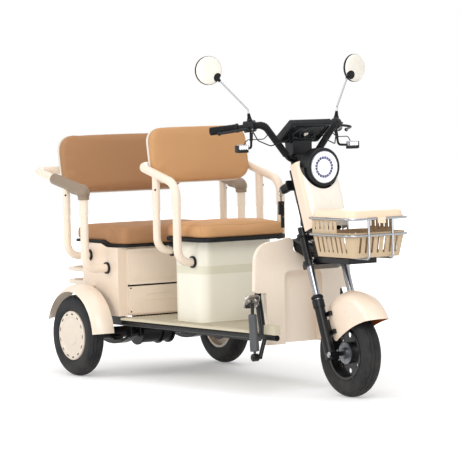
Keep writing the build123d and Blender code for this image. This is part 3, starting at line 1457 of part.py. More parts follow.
with BuildPart() as stem_cover:
    with BuildSketch(STEER_SIDE):
        Polygon(*shroud_profile(0.0, 2.0), align=None)
    extrude(amount=SHROUD_HALF, both=True)
    with BuildSketch(STEER.offset(SHROUD_BOTTOM_H + 3.0)):
        with Locations((plate_rear_f + PLATE_THICKNESS / 2, 0)):
            Rectangle(PLATE_THICKNESS, 2 * (COWL_HALF - COWL_WALL) - 2.0)
    extrude(amount=COWL_TOP_H - SHROUD_BOTTOM_H - 8.0)
    with BuildSketch(STEER_SIDE):
        Polygon(*shroud_profile(SHROUD_WALL, 0.0), align=None)
    extrude(amount=SHROUD_HALF - SHROUD_WALL, both=True, mode=Mode.SUBTRACT)
    for rib_h in (SHROUD_BOTTOM_H + 90.0, SHROUD_TOP_H - 16.0):
        with BuildSketch(STEER.offset(rib_h)):
            with Locations(((plate_rear_f + SHROUD_REAR_F) / 2 + 1.0, 0)):
                Rectangle(plate_rear_f - SHROUD_REAR_F + 2.0, 2 * SHROUD_HALF - 2.0)
        extrude(amount=6.0)
    with BuildSketch(STEER.offset(SHROUD_BOTTOM_H - 10.0)):
        Circle(STEERER / 2 + FIT)
    extrude(amount=SHROUD_TOP_H, mode=Mode.SUBTRACT)
stem_cover.part.label = "stem_cover"
export_step(stem_cover.part, "parts/stem_cover.step")

shroud_rear_x = lamp_front_x - 56.0
with BuildPart() as headlight:
    with BuildSketch(lamp_plane(lamp_front_x - 86.0)):
        Circle(LAMP_SHELL_DIAMETER / 2)
    extrude(amount=86.0)
    fillet(headlight.edges().filter_by(GeomType.CIRCLE).sort_by(Axis.X)[0], radius=26.0)
    with BuildSketch(lamp_plane(shroud_rear_x)):
        Circle(LAMP_SHROUD_DIAMETER / 2)
        with Locations((0, LAMP_SHROUD_DIAMETER / 2)):
            Rectangle(LAMP_SHROUD_DIAMETER, LAMP_SHROUD_DIAMETER, mode=Mode.SUBTRACT)
    extrude(amount=36.0)
headlight.part.label = "headlight"
export_step(headlight.part, "parts/headlight.step")

with BuildPart() as headlight_lens:
    with BuildSketch(lamp_plane(lamp_front_x + FIT)):
        Circle(LENS_DIAMETER / 2)
    extrude(amount=LENS_THICKNESS)
    fillet(headlight_lens.edges().filter_by(GeomType.CIRCLE).sort_by(Axis.X)[-1], radius=3.0)
headlight_lens.part.label = "headlight_lens"
export_step(headlight_lens.part, "parts/headlight_lens.step")

with BuildPart() as neck_cover:
    with BuildSketch(STEER_SIDE):
        Polygon((-56.0, 52.0), (-56.0, 100.0), (-124.0, 158.0), (-124.0, 105.0), align=None)
    extrude(amount=SHROUD_HALF, both=True)
    add(rod((HOOP_X, 0, HOOP_TOP_Z), (head_centre.X, 0, head_centre.Z), NECK_TUBE + 2 * FIT),
        mode=Mode.SUBTRACT)
neck_cover.part.label = "neck_cover"
export_step(neck_cover.part, "parts/neck_cover.step")

# ------------------------------------------------------------------ handlebar
BAR_TUBE = 24.0
GRIP_DIAMETER = 36.0
GRIP_LENGTH = 125.0
GRIP_END = 4.0
POD_DIAMETER = 50.0
POD_LENGTH = 48.0
POD_START = 152.0
STEM_BLOCK_HALF = 32.0
STEM_BLOCK_HEIGHT = 42.0
BAR_RISE = 23.0
STEM_BLOCK_TOP_H = STEERER_TOP_H + STEM_BLOCK_HEIGHT
bar_centre_h = STEERER_TOP_H + BAR_RISE
bar_centre = steer_point(13.5, 0, bar_centre_h)
bar_end = Vector(bar_centre.X - 185.0, -340.0, bar_centre.Z + 130.0)
bar_shoulder = Vector(bar_centre.X, -190.0, bar_centre.Z + 156.0)
bar_low = Vector(bar_centre.X + 4.0, -60.0, bar_centre.Z)
bar_route = [tuple(bar_end), tuple(bar_shoulder), tuple(bar_low)]
handle_tube = bent_tube(mirrored_points(bar_route), BAR_TUBE, [60.0, 50.0, 50.0, 60.0])
grip_axis = (bar_shoulder - bar_end).normalized()


def along_grip(distance, diameter, length):
    """A bar section on the right grip's line, from a distance inboard of its tip."""
    start = bar_end + grip_axis * distance
    return rod(tuple(start), tuple(start + grip_axis * length), diameter)


with BuildPart() as handlebar:
    add(handle_tube)
    with BuildSketch(STEER_SIDE):
        with Locations((7.0, (STEERER_TOP_H + STEM_BLOCK_TOP_H) / 2)):
            Rectangle(52.0, STEM_BLOCK_TOP_H - STEERER_TOP_H - 2 * FIT)
    extrude(amount=STEM_BLOCK_HALF, both=True)
handlebar.part.label = "handlebar"
export_step(handlebar.part, "parts/handlebar.step")

grip_outside = along_grip(-GRIP_END, GRIP_DIAMETER, GRIP_LENGTH + GRIP_END)
grip_bore = along_grip(-FIT, BAR_TUBE + 2 * FIT, GRIP_LENGTH + 10.0)
with BuildPart() as grips:
    add(grip_outside)
    add(grip_bore, mode=Mode.SUBTRACT)
    mirror(about=Plane.XZ)
grips.part.label = "grips"
export_step(grips.part, "parts/grips.step")

pod_outside = along_grip(POD_START, POD_DIAMETER, POD_LENGTH)
pod_bore = along_grip(POD_START - 5.0, BAR_TUBE + 2 * FIT, POD_LENGTH + 10.0)
pod_middle = bar_end + grip_axis * (POD_START + POD_LENGTH / 2)
lever_start = pod_middle + Vector(18.0, -14.0, -7.0)
lever_knee = lever_start + Vector(20.0, -40.0, -6.0)
lever_end = Vector(bar_end.X + 62.0, bar_end.Y + 2.0, bar_end.Z - 10.0)
lever = bent_tube([tuple(lever_start), tuple(lever_knee), tuple(lever_end)], 11.0, 24.0)
with BuildPart() as right_control:
    add(lever)
    with Locations(lever_end):
        Sphere(8.5)
    add(pod_outside)
    add(pod_bore, mode=Mode.SUBTRACT)
left_control = mirror(right_control.part, about=Plane.XZ)
with BuildPart() as hand_controls:
    add(right_control.part)
    add(left_control)
hand_controls.part.label = "hand_controls"
export_step(hand_controls.part, "parts/hand_controls.step")

# ------------------------------------------------------------------ dash
DASH_HALF = 105.0
DASH_THICKNESS = 28.0
DASH_SLOPE = 34.5
DASH_LENGTH = 136.0
dash_low_x = bar_centre.X - 20.0
dash_low_z = bar_centre.Z + 77.0
dash_plane = Plane(
    origin=(dash_low_x, 0, dash_low_z),
    x_dir=(math.cos(math.radians(DASH_SLOPE)), 0, math.sin(math.radians(DASH_SLOPE))),
    z_dir=(0, -1, 0),
)
with BuildPart() as dash:
    with BuildSketch(dash_plane):
        with Locations((DASH_LENGTH / 2, DASH_THICKNESS / 2)):
            RectangleRounded(DASH_LENGTH, DASH_THICKNESS, 8.0)
    extrude(amount=DASH_HALF, both=True)
    with BuildSketch(STEER_SIDE):
        Polygon(
            (-18.0, STEM_BLOCK_TOP_H),
            (36.0, STEM_BLOCK_TOP_H),
            (64.0, STEM_BLOCK_TOP_H + 76.0),
            (-2.0, STEM_BLOCK_TOP_H + 76.0),
            align=None,
        )
    extrude(amount=50.0, both=True)
dash.part.label = "dash"
export_step(dash.part, "parts/dash.step")

# ------------------------------------------------------------------ mirrors and signals
MIRROR_DIAMETER = 124.0
MIRROR_DEPTH = 20.0
GLASS_DIAMETER = 112.0
MIRROR_YAW = 8.0
MIRROR_HALF = 388.0
MIRROR_Z = 1395.0
MIRROR_STEM = 9.0
mirror_x = bar_centre.X - 119.0
yaw = math.radians(MIRROR_YAW)
mirror_normal = Vector(math.cos(yaw), -math.sin(yaw), 0)
mirror_centre = Vector(mirror_x, -MIRROR_HALF, MIRROR_Z)
mirror_back = Plane(
    origin=tuple(mirror_centre - mirror_normal * (MIRROR_DEPTH / 2)),
    x_dir=(math.sin(yaw), math.cos(yaw), 0),
    z_dir=tuple(mirror_normal),
)
stem_foot = pod_middle + Vector(0, 0, POD_DIAMETER / 2 + 1.0)
stem_route = [
    tuple(stem_foot),
    tuple(stem_foot + Vector(-2.0, -6.0, 46.0)),
    tuple(mirror_centre + Vector(0, MIRROR_DIAMETER / 2 * 0.7, -MIRROR_DIAMETER / 2 * 0.6)),
]
mirror_stem = bent_tube(stem_route, MIRROR_STEM, 20.0)
with BuildPart() as mirrors:
    with BuildSketch(mirror_back):
        Circle(MIRROR_DIAMETER / 2)
    extrude(amount=MIRROR_DEPTH)
    fillet(mirrors.edges().filter_by(GeomType.CIRCLE).sort_by(Axis.X)[-1], radius=12.0)
    with BuildSketch(mirror_back):
        Circle(GLASS_DIAMETER / 2)
    extrude(amount=3.0, mode=Mode.SUBTRACT)
    add(mirror_stem)
    mirror(about=Plane.XZ)
mirrors.part.label = "mirrors"
export_step(mirrors.part, "parts/mirrors.step")

with BuildPart() as mirror_glasses:
    with BuildSketch(mirror_back.offset(0.6)):
        Circle(GLASS_DIAMETER / 2 - FIT)
    extrude(amount=3.0 - 0.6 - FIT)
    mirror(about=Plane.XZ)
mirror_glasses.part.label = "mirror_glasses"
export_step(mirror_glasses.part, "parts/mirror_glasses.step")

SIGNAL_HALF = 292.0
SIGNAL_DROP = 78.0
SIGNAL_SIZE = (30.0, 56.0, 34.0)
signal_top = pod_middle + Vector(2.0, 6.0, -POD_DIAMETER / 2 - 1.0)
signal_knee = Vector(signal_top.X + 8.0, signal_top.Y - 8.0, pod_middle.Z - SIGNAL_DROP - 14.0)
signal_centre = Vector(signal_knee.X + 20.0, -SIGNAL_HALF, signal_knee.Z - 2.0)
signal_stalk = bent_tube(
    [tuple(signal_top), tuple(signal_knee), tuple(signal_centre)], 11.0, 14.0
)
with BuildPart() as turn_signals:
    add(signal_stalk)
    with Locations(signal_centre):
        Box(*SIGNAL_SIZE)
    mirror(about=Plane.XZ)
turn_signals.part.label = "turn_signals"
export_step(turn_signals.part, "parts/turn_signals.step")

# ------------------------------------------------------------------ cables
BRAKE_CABLE = 5.0
SIGNAL_WIRE = 4.0
CABLE_BEND = 20.0
CABLE_REACH = 66.0
CABLE_HALF = 88.0
WIRE_HOLD = 46.0
WIRE_LEAD = 30.0
cable_start = pod_middle + Vector(12.0, 8.0, 1.5 - POD_DIAMETER / 2)
cable_end = dash_plane.from_local_coords(Vector(CABLE_REACH, -FIT, CABLE_HALF))
cable_lead = dash_plane.from_local_coords(Vector(CABLE_REACH, -WIRE_LEAD, CABLE_HALF))
brake_cable = bent_tube(
    [
        tuple(cable_start),
        tuple(cable_start + Vector(13.0, 16.0, -38.0)),
        tuple(cable_start + Vector(56.0, 52.0, -62.0)),
        tuple(cable_lead),
        tuple(cable_end),
    ],
    BRAKE_CABLE,
    CABLE_BEND,
)
bar_run = (bar_low - bar_shoulder).normalized()
wire_side = Vector(0, bar_run.Z, -bar_run.Y)
wire_hold = bar_shoulder + bar_run * WIRE_HOLD
signal_wire = bent_tube(
    [
        tuple(signal_centre + Vector(0, 10.0, SIGNAL_SIZE[2] / 2 - 1.0)),
        tuple(signal_centre + Vector(3.0, 24.0, SIGNAL_SIZE[2] / 2 + 21.0)),
        tuple(wire_hold + wire_side * (BAR_TUBE / 2 + WIRE_LEAD)),
        tuple(wire_hold + wire_side * (BAR_TUBE / 2 + FIT)),
    ],
    SIGNAL_WIRE,
    CABLE_BEND,
)
pod_room = along_grip(POD_START, POD_DIAMETER + 2 * FIT, POD_LENGTH)
with BuildPart() as control_cables:
    add(brake_cable)
    add(pod_room, mode=Mode.SUBTRACT)
    add(signal_wire)
    with Locations(signal_centre):
        Box(SIGNAL_SIZE[0], SIGNAL_SIZE[1], SIGNAL_SIZE[2] + 2 * FIT, mode=Mode.SUBTRACT)
    mirror(about=Plane.XZ)
control_cables.part.label = "control_cables"
export_step(control_cables.part, "parts/control_cables.step")

# ------------------------------------------------------------------ basket
TUB_GAP = 3.0
TUB_WALL = 3.0
TUB_TOP_Z = 708.0
TUB_CORNER = 34.0
TUB_SLOT = 12.0
TUB_SLOT_PITCH = 31.0
TUB_FLARE = 20.0
EAR_SLOT = 9.0
EAR_SLOT_HEIGHT = 34.0
EAR_LENGTH = 170.0
EAR_REAR = 24.0
LID_HEIGHT = 29.0
LID_CROWN = 10.0
LID_WALL = 3.0
LID_TAPER = 18.0
LID_CORNER = 42.0
LATCH_WIDTH = 40.0
LATCH_DROP = 24.0
LATCH_WALL = 3.0
LATCH_GAP = 1.0
KNUCKLE_DIAMETER = 17.0
KNUCKLE_LENGTH = 26.0
LID_INSET = 10.0


def rack_ring(height, corner):
    """One closed wire round the basket."""
    with BuildPart() as ring:
        with BuildLine() as loop:
            FilletPolyline(
                (RACK_REAR_X, 0, height),
                (RACK_REAR_X, -RACK_HALF, height),
                (RACK_FRONT_X, -RACK_HALF, height),
                (RACK_FRONT_X, RACK_HALF, height),
                (RACK_REAR_X, RACK_HALF, height),
                (RACK_REAR_X, 0.1, height),
                radius=corner,
            )
        with BuildSketch(Plane(origin=loop.line @ 0, z_dir=loop.line % 0)):
            Circle(RACK_WIRE / 2)
        sweep()
    return ring.part


def rack_hoop(hoop_y):
    """A wire that hangs from the top ring and runs under the tub."""
    return bent_tube(
        [
            (RACK_FRONT_X, hoop_y, RACK_TOP_Z),
            (RACK_FRONT_X, hoop_y, RACK_BOTTOM_Z),
            (RACK_REAR_X, hoop_y, RACK_BOTTOM_Z),
            (RACK_REAR_X, hoop_y, RACK_TOP_Z),
        ],
        RACK_WIRE - 0.4,
        16.0,
    )


rack_rings = [rack_ring(height, 40.0) for height in (RACK_TOP_Z, RACK_MID_Z)]
rack_hoops = [rack_hoop(hoop_y) for hoop_y in (-RACK_HOOP_Y, RACK_HOOP_Y)]
with BuildPart() as basket_rack:
    for rack_wire in rack_rings + rack_hoops:
        add(rack_wire)
basket_rack.part.label = "basket_rack"
export_step(basket_rack.part, "parts/basket_rack.step")

tub_half = RACK_HALF - RACK_WIRE / 2 - TUB_GAP
tub_rear_x = RACK_REAR_X + RACK_WIRE / 2 + TUB_GAP
tub_front_x = RACK_FRONT_X - RACK_WIRE / 2 - TUB_GAP
tub_x = (tub_rear_x + tub_front_x) / 2
tub_bottom_z = RACK_BOTTOM_Z + RACK_WIRE / 2 + FIT
tub_length = tub_front_x - tub_rear_x
ear_x = tub_rear_x + EAR_REAR + EAR_LENGTH / 2
ear_top_z = RACK_TOP_Z - 2.0
slot_height = TUB_TOP_Z - tub_bottom_z - 36.0
with BuildPart() as basket_tub:
    with BuildSketch(Plane.XY.offset(tub_bottom_z)):
        with Locations((tub_x, 0)):
            RectangleRounded(
                tub_length - 2 * TUB_FLARE, 2 * tub_half - 2 * TUB_FLARE, TUB_CORNER - 10.0
            )
    with BuildSketch(Plane.XY.offset(TUB_TOP_Z)):
        with Locations((tub_x, 0)):
            RectangleRounded(tub_length, 2 * tub_half, TUB_CORNER)
    loft()
    for ear_y in (-1, 1):
        with Locations((ear_x, ear_y * (tub_half - TUB_WALL / 2 - 0.5), TUB_TOP_Z - 12.0)):
            Box(
                EAR_LENGTH,
                TUB_WALL,
                ear_top_z - TUB_TOP_Z + 12.0,
                align=(Align.CENTER, Align.CENTER, Align.MIN),
            )
    with BuildSketch(Plane.XY.offset(tub_bottom_z + TUB_WALL)):
        with Locations((tub_x, 0)):
            RectangleRounded(
                tub_length - 2 * TUB_FLARE - 2 * TUB_WALL,
                2 * tub_half - 2 * TUB_FLARE - 2 * TUB_WALL,
                TUB_CORNER - 10.0 - TUB_WALL,
            )
    with BuildSketch(Plane.XY.offset(TUB_TOP_Z + 1.0)):
        with Locations((tub_x, 0)):
            RectangleRounded(
                tub_length - 2 * TUB_WALL, 2 * tub_half - 2 * TUB_WALL, TUB_CORNER - TUB_WALL
            )
    loft(mode=Mode.SUBTRACT)
    with BuildSketch(Plane.XZ):
        with Locations((tub_x, (tub_bottom_z + TUB_TOP_Z) / 2)):
            with GridLocations(TUB_SLOT_PITCH, 1.0, 7, 1):
                SlotOverall(slot_height, TUB_SLOT, rotation=90)
        with Locations((ear_x, (ear_top_z + TUB_TOP_Z) / 2)):
            with GridLocations(TUB_SLOT_PITCH, 1.0, 5, 1):
                SlotOverall(EAR_SLOT_HEIGHT, EAR_SLOT, rotation=90)
    extrude(amount=2 * tub_half, both=True, mode=Mode.SUBTRACT)
    with BuildSketch(Plane.YZ.offset(tub_x)):
        with Locations((0, (tub_bottom_z + TUB_TOP_Z) / 2)):
            with GridLocations(TUB_SLOT_PITCH, 1.0, 7, 1):
                SlotOverall(slot_height, TUB_SLOT, rotation=90)
    extrude(amount=tub_length, both=True, mode=Mode.SUBTRACT)
basket_tub.part.label = "basket_tub"
export_step(basket_tub.part, "parts/basket_tub.step")

lid_bottom_z = RACK_TOP_Z + RACK_WIRE / 2 + FIT
lid_rear_x = RACK_REAR_X + RACK_WIRE / 2 + 1.0
lid_front_x = RACK_FRONT_X - LID_INSET
lid_half = RACK_HALF - LID_INSET
latch_x = RACK_FRONT_X + RACK_WIRE / 2 + LATCH_GAP
latch_align = (Align.MIN, Align.CENTER, Align.MIN)
with BuildPart() as basket_lid:
    with BuildSketch(Plane.XY.offset(lid_bottom_z)):
        with Locations(((lid_rear_x + lid_front_x) / 2, 0)):
            RectangleRounded(lid_front_x - lid_rear_x, 2 * lid_half, LID_CORNER)
    extrude(amount=LID_HEIGHT, taper=LID_TAPER)
    fillet(basket_lid.faces().sort_by(Axis.Z)[-1].edges(), radius=LID_CROWN + LID_WALL)
    with BuildSketch(Plane.XY.offset(lid_bottom_z)):
        with Locations(((lid_rear_x + lid_front_x) / 2, 0)):
            RectangleRounded(
                lid_front_x - lid_rear_x - 2 * LID_WALL,
                2 * (lid_half - LID_WALL),
                LID_CORNER - LID_WALL,
            )
    extrude(amount=LID_HEIGHT - LID_WALL - LID_CROWN, taper=LID_TAPER, mode=Mode.SUBTRACT)
    with Locations((lid_front_x - LID_WALL, 0, lid_bottom_z)):
        Box(latch_x + LATCH_WALL - lid_front_x + LID_WALL, LATCH_WIDTH, LATCH_WALL, align=latch_align)
    with Locations((latch_x, 0, lid_bottom_z - LATCH_DROP)):
        Box(LATCH_WALL, LATCH_WIDTH, LATCH_DROP + LATCH_WALL, align=latch_align)
    for knuckle_y in (-80.0, 80.0):
        with Locations((RACK_REAR_X, knuckle_y, RACK_TOP_Z)):
            Cylinder(KNUCKLE_DIAMETER / 2, KNUCKLE_LENGTH, rotation=(90, 0, 0))
        with Locations((RACK_REAR_X + KNUCKLE_DIAMETER / 4, knuckle_y, lid_bottom_z - 1.0)):
            Box(
                KNUCKLE_DIAMETER / 2 + 8.0,
                KNUCKLE_LENGTH,
                8.0,
                align=(Align.CENTER, Align.CENTER, Align.MIN),
            )
        with Locations((RACK_REAR_X, knuckle_y, RACK_TOP_Z)):
            Cylinder(
                RACK_WIRE / 2 + RUNNING_FIT,
                KNUCKLE_LENGTH + 2.0,
                rotation=(90, 0, 0),
                mode=Mode.SUBTRACT,
            )
basket_lid.part.label = "basket_lid"
export_step(basket_lid.part, "parts/basket_lid.step")

# ------------------------------------------------------------------ ignition lock and key
LOCK_DIAMETER = 38.0
LOCK_LENGTH = 60.0
KEY_REACH = 20.0
LOCK_DROP = 66.0
LOCK_H = SHROUD_TOP_H - LOCK_DROP
LOCK_Y = -50.0
LOCK_PLATE = (62.0, 46.0, 4.0)
LOCK_PLATE_CORNER = 8.0
lock_start = steer_point(SHROUD_REAR_F - FIT, LOCK_Y, LOCK_H)
lock_end = steer_point(SHROUD_REAR_F - LOCK_LENGTH, LOCK_Y, LOCK_H)
key_head = steer_point(SHROUD_REAR_F - LOCK_LENGTH - KEY_REACH, LOCK_Y, LOCK_H)
lock_barrel = rod(tuple(lock_start), tuple(lock_end), LOCK_DIAMETER)
key_bow = rod(tuple(lock_end), tuple(key_head), 14.0)
fob_link = rod(tuple(key_head), (key_head.X, key_head.Y, key_head.Z - 46.0), 5.0)
lock_plane = Plane(origin=lock_start, x_dir=(0, 1, 0), z_dir=lock_end - lock_start)
with BuildPart() as ignition_key:
    with BuildSketch(lock_plane):
        with Locations((-LOCK_Y - SHROUD_HALF, 0)):
            RectangleRounded(LOCK_PLATE[0], LOCK_PLATE[1], LOCK_PLATE_CORNER)
    extrude(amount=LOCK_PLATE[2])
    add(lock_barrel)
    add(key_bow)
    add(fob_link)
    with Locations((key_head.X, key_head.Y, key_head.Z - 72.0)):
        Box(10.0, 26.0, 58.0)
    with Locations((key_head.X, key_head.Y + 6.0, key_head.Z - 128.0)):
        Box(8.0, 14.0, 60.0)
ignition_key.part.label = "ignition_key"
export_step(ignition_key.part, "parts/ignition_key.step")
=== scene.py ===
import json
import math

import bpy
import numpy as np
from mathutils import Matrix, Vector
from mathutils.bvhtree import BVHTree


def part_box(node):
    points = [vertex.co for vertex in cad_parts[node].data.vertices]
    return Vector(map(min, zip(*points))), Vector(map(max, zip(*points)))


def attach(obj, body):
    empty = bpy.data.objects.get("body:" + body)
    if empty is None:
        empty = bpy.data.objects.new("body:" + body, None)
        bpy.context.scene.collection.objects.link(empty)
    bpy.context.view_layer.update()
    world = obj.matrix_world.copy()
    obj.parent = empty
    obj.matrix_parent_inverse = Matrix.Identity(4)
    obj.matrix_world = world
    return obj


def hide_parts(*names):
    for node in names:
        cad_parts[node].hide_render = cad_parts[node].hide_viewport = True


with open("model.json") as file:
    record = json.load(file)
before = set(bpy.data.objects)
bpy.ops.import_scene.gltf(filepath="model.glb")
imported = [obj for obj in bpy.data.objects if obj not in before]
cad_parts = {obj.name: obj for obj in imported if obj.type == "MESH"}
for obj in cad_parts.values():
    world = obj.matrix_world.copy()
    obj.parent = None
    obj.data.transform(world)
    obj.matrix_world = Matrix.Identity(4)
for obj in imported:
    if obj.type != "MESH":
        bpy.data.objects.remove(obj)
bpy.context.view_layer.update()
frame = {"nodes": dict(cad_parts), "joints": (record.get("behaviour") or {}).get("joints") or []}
scene = bpy.context.scene
scene.view_settings.view_transform = "Standard"


# ---------------------------------------------------------------- colours and node helpers
def tone(red, green, blue):
    """A paint-card colour, 0 to 255 each, as the linear colour that shaders take."""
    linear = []
    for level in (red, green, blue):
        share = level / 255.0
        low = share <= 0.04045
        linear.append(share / 12.92 if low else ((share + 0.055) / 1.055) ** 2.4)
    return (*linear, 1.0)


def feed(tree, socket, value):
    """Links the socket to a node's output, or sets its value."""
    if isinstance(value, bpy.types.NodeSocket):
        tree.links.new(value, socket)
    else:
        socket.default_value = value


def put(tree, kind, **values):
    """Adds a node. Each value goes to the socket of that name, or else to the setting."""
    made = tree.nodes.new(kind)
    for key, value in values.items():
        label = key.replace("_", " ")
        if label in made.inputs:
            feed(tree, made.inputs[label], value)
        else:
            setattr(made, key, value)
    return made


def math_node(tree, operation, first, second=0.0, third=None, clamp=False):
    made = put(tree, "ShaderNodeMath", operation=operation, use_clamp=clamp)
    feed(tree, made.inputs[0], first)
    feed(tree, made.inputs[1], second)
    if third is not None:
        feed(tree, made.inputs[2], third)
    return made.outputs[0]


def blend_colours(tree, share, first, second, blend_type="MIX"):
    made = put(tree, "ShaderNodeMix", data_type="RGBA", blend_type=blend_type)
    for place, value in ((0, share), (6, first), (7, second)):
        feed(tree, made.inputs[place], value)
    return made.outputs[2]


def spread_range(tree, value, low, high, out_low=0.0, out_high=1.0):
    """The value's run from low to high, spread from out_low to out_high."""
    made = put(tree, "ShaderNodeMapRange", Value=value, From_Min=low, From_Max=high,
               To_Min=out_low, To_Max=out_high)
    return made.outputs["Result"]


def new_effect(name, takes, gives):
    """A shader node group: takes and gives are (name, kind, default) and (name, kind)."""
    group = bpy.data.node_groups.new(name, "ShaderNodeTree")
    for label, kind, default in takes:
        socket = group.interface.new_socket(label, in_out="INPUT", socket_type=kind)
        if default is not None:
            socket.default_value = default
    for label, kind in gives:
        group.interface.new_socket(label, in_out="OUTPUT", socket_type=kind)
    return group, group.nodes.new("NodeGroupInput"), group.nodes.new("NodeGroupOutput")


def noise(group, given, scale, detail, roughness=0.5):
    """Noise at the place that the group is given."""
    made = put(group, "ShaderNodeTexNoise", Vector=given.outputs["Place"], Scale=scale,
               Detail=detail, Roughness=roughness)
    return made.outputs["Fac"]


def tint_by_mask(group, given, out, share, tint):
    """Ends a wear group: its colour goes over to the tint by the share and the amount."""
    share = math_node(group, "MULTIPLY", share, given.outputs["Amount"], clamp=True)
    mixed = blend_colours(group, share, given.outputs["Color"], given.outputs[tint])
    group.links.new(mixed, out.inputs["Color"])
    group.links.new(share, out.inputs["Mask"])


COLOUR = "NodeSocketColor"
NUMBER = "NodeSocketFloat"
VECTOR = "NodeSocketVector"
GREY = (0.5, 0.5, 0.5, 1.0)


def slow_tone_effect():
    """A surface that is a little lighter here and darker there, as sprayed or moulded."""
    group, given, out = new_effect(
        "slow_tone",
        [("Color", COLOUR, GREY), ("Place", VECTOR, None), ("Scale", NUMBER, 4.0),
         ("Spread", NUMBER, 0.04)],
        [("Color", COLOUR), ("Cloud", NUMBER)],
    )
    cloud = noise(group, given, given.outputs["Scale"], 4.0, 0.55)
    centred = math_node(group, "SUBTRACT", cloud, 0.5)
    swing = math_node(group, "MULTIPLY", centred, given.outputs["Spread"])
    level = math_node(group, "MULTIPLY_ADD", swing, 4.0, 1.0)
    grey = put(group, "ShaderNodeCombineColor", Red=level, Green=level, Blue=level)
    mixed = blend_colours(group, 1.0, given.outputs["Color"], grey.outputs[0], "MULTIPLY")
    group.links.new(mixed, out.inputs["Color"])
    group.links.new(cloud, out.inputs["Cloud"])
    return group


def road_dust_effect():
    """Pale dust that thins out with height above the road."""
    group, given, out = new_effect(
        "road_dust",
        [("Color", COLOUR, GREY), ("Place", VECTOR, None), ("Dust", COLOUR, GREY),
         ("Reach", NUMBER, 0.4), ("Amount", NUMBER, 0.3)],
        [("Color", COLOUR), ("Mask", NUMBER)],
    )
    parts = put(group, "ShaderNodeSeparateXYZ", Vector=given.outputs["Place"])
    height = math_node(group, "DIVIDE", parts.outputs["Z"], given.outputs["Reach"])
    low = math_node(group, "SUBTRACT", 1.0, height, clamp=True)
    patchy = spread_range(group, noise(group, given, 14.0, 6.0, 0.65), 0.35, 0.75)
    tint_by_mask(group, given, out, math_node(group, "MULTIPLY", low, patchy), "Dust")
    return group


def edge_rub_effect():
    """Edges rubbed lighter by use."""
    group, given, out = new_effect(
        "edge_rub",
        [("Color", COLOUR, GREY), ("Place", VECTOR, None), ("Rubbed", COLOUR, GREY),
         ("Amount", NUMBER, 0.5)],
        [("Color", COLOUR), ("Mask", NUMBER)],
    )
    shape = put(group, "ShaderNodeNewGeometry")
    ridge = spread_range(group, shape.outputs["Pointiness"], 0.53, 0.62)
    patchy = spread_range(group, noise(group, given, 60.0, 5.0, 0.7), 0.42, 0.62)
    tint_by_mask(group, given, out, math_node(group, "MULTIPLY", ridge, patchy), "Rubbed")
    return group


PEBBLE_WARP = 0.0016


def hide_grain_effect():
    """The pebbled grain of coated seat cloth, with finer wrinkles between the pebbles."""
    group, given, out = new_effect(
        "hide_grain",
        [("Place", VECTOR, None), ("Scale", NUMBER, 520.0)],
        [("Height", NUMBER)],
    )
    warp = put(group, "ShaderNodeTexNoise", Vector=given.outputs["Place"], Scale=180.0,
               Detail=2.0)
    mix = put(group, "ShaderNodeVectorMath", operation="MULTIPLY_ADD")
    group.links.new(warp.outputs["Color"], mix.inputs[0])
    mix.inputs[1].default_value = (PEBBLE_WARP,) * 3
    group.links.new(given.outputs["Place"], mix.inputs[2])
    pebbles = put(group, "ShaderNodeTexVoronoi", feature="DISTANCE_TO_EDGE",
                  Vector=mix.outputs[0], Scale=given.outputs["Scale"])
    crease = spread_range(group, pebbles.outputs["Distance"], 0.0, 0.16)
    height = math_node(group, "MULTIPLY_ADD", noise(group, given, 1400.0, 3.0), 0.35, crease)
    group.links.new(height, out.inputs["Height"])
    return group


def fine_grain_effect():
    """A fine even grain, for moulded plastic, rubber and powder coat."""
    group, given, out = new_effect(
        "fine_grain",
        [("Place", VECTOR, None), ("Scale", NUMBER, 600.0)],
        [("Height", NUMBER)],
    )
    coarse = noise(group, given, given.outputs["Scale"], 5.0, 0.6)
    group.links.new(coarse, out.inputs["Height"])
    return group


EFFECTS = {
    "slow_tone": slow_tone_effect(),
    "road_dust": road_dust_effect(),
    "edge_rub": edge_rub_effect(),
    "hide_grain": hide_grain_effect(),
    "fine_grain": fine_grain_effect(),
}
DUST = tone(168, 156, 138)
COAT_ROUGHNESS = 0.08


def place_effect(tree, effect, **values):
    made = tree.nodes.new("ShaderNodeGroup")
    made.node_tree = EFFECTS[effect]
    for label, value in values.items():
        feed(tree, made.inputs[label], value)
    return made


FINISHES = {}


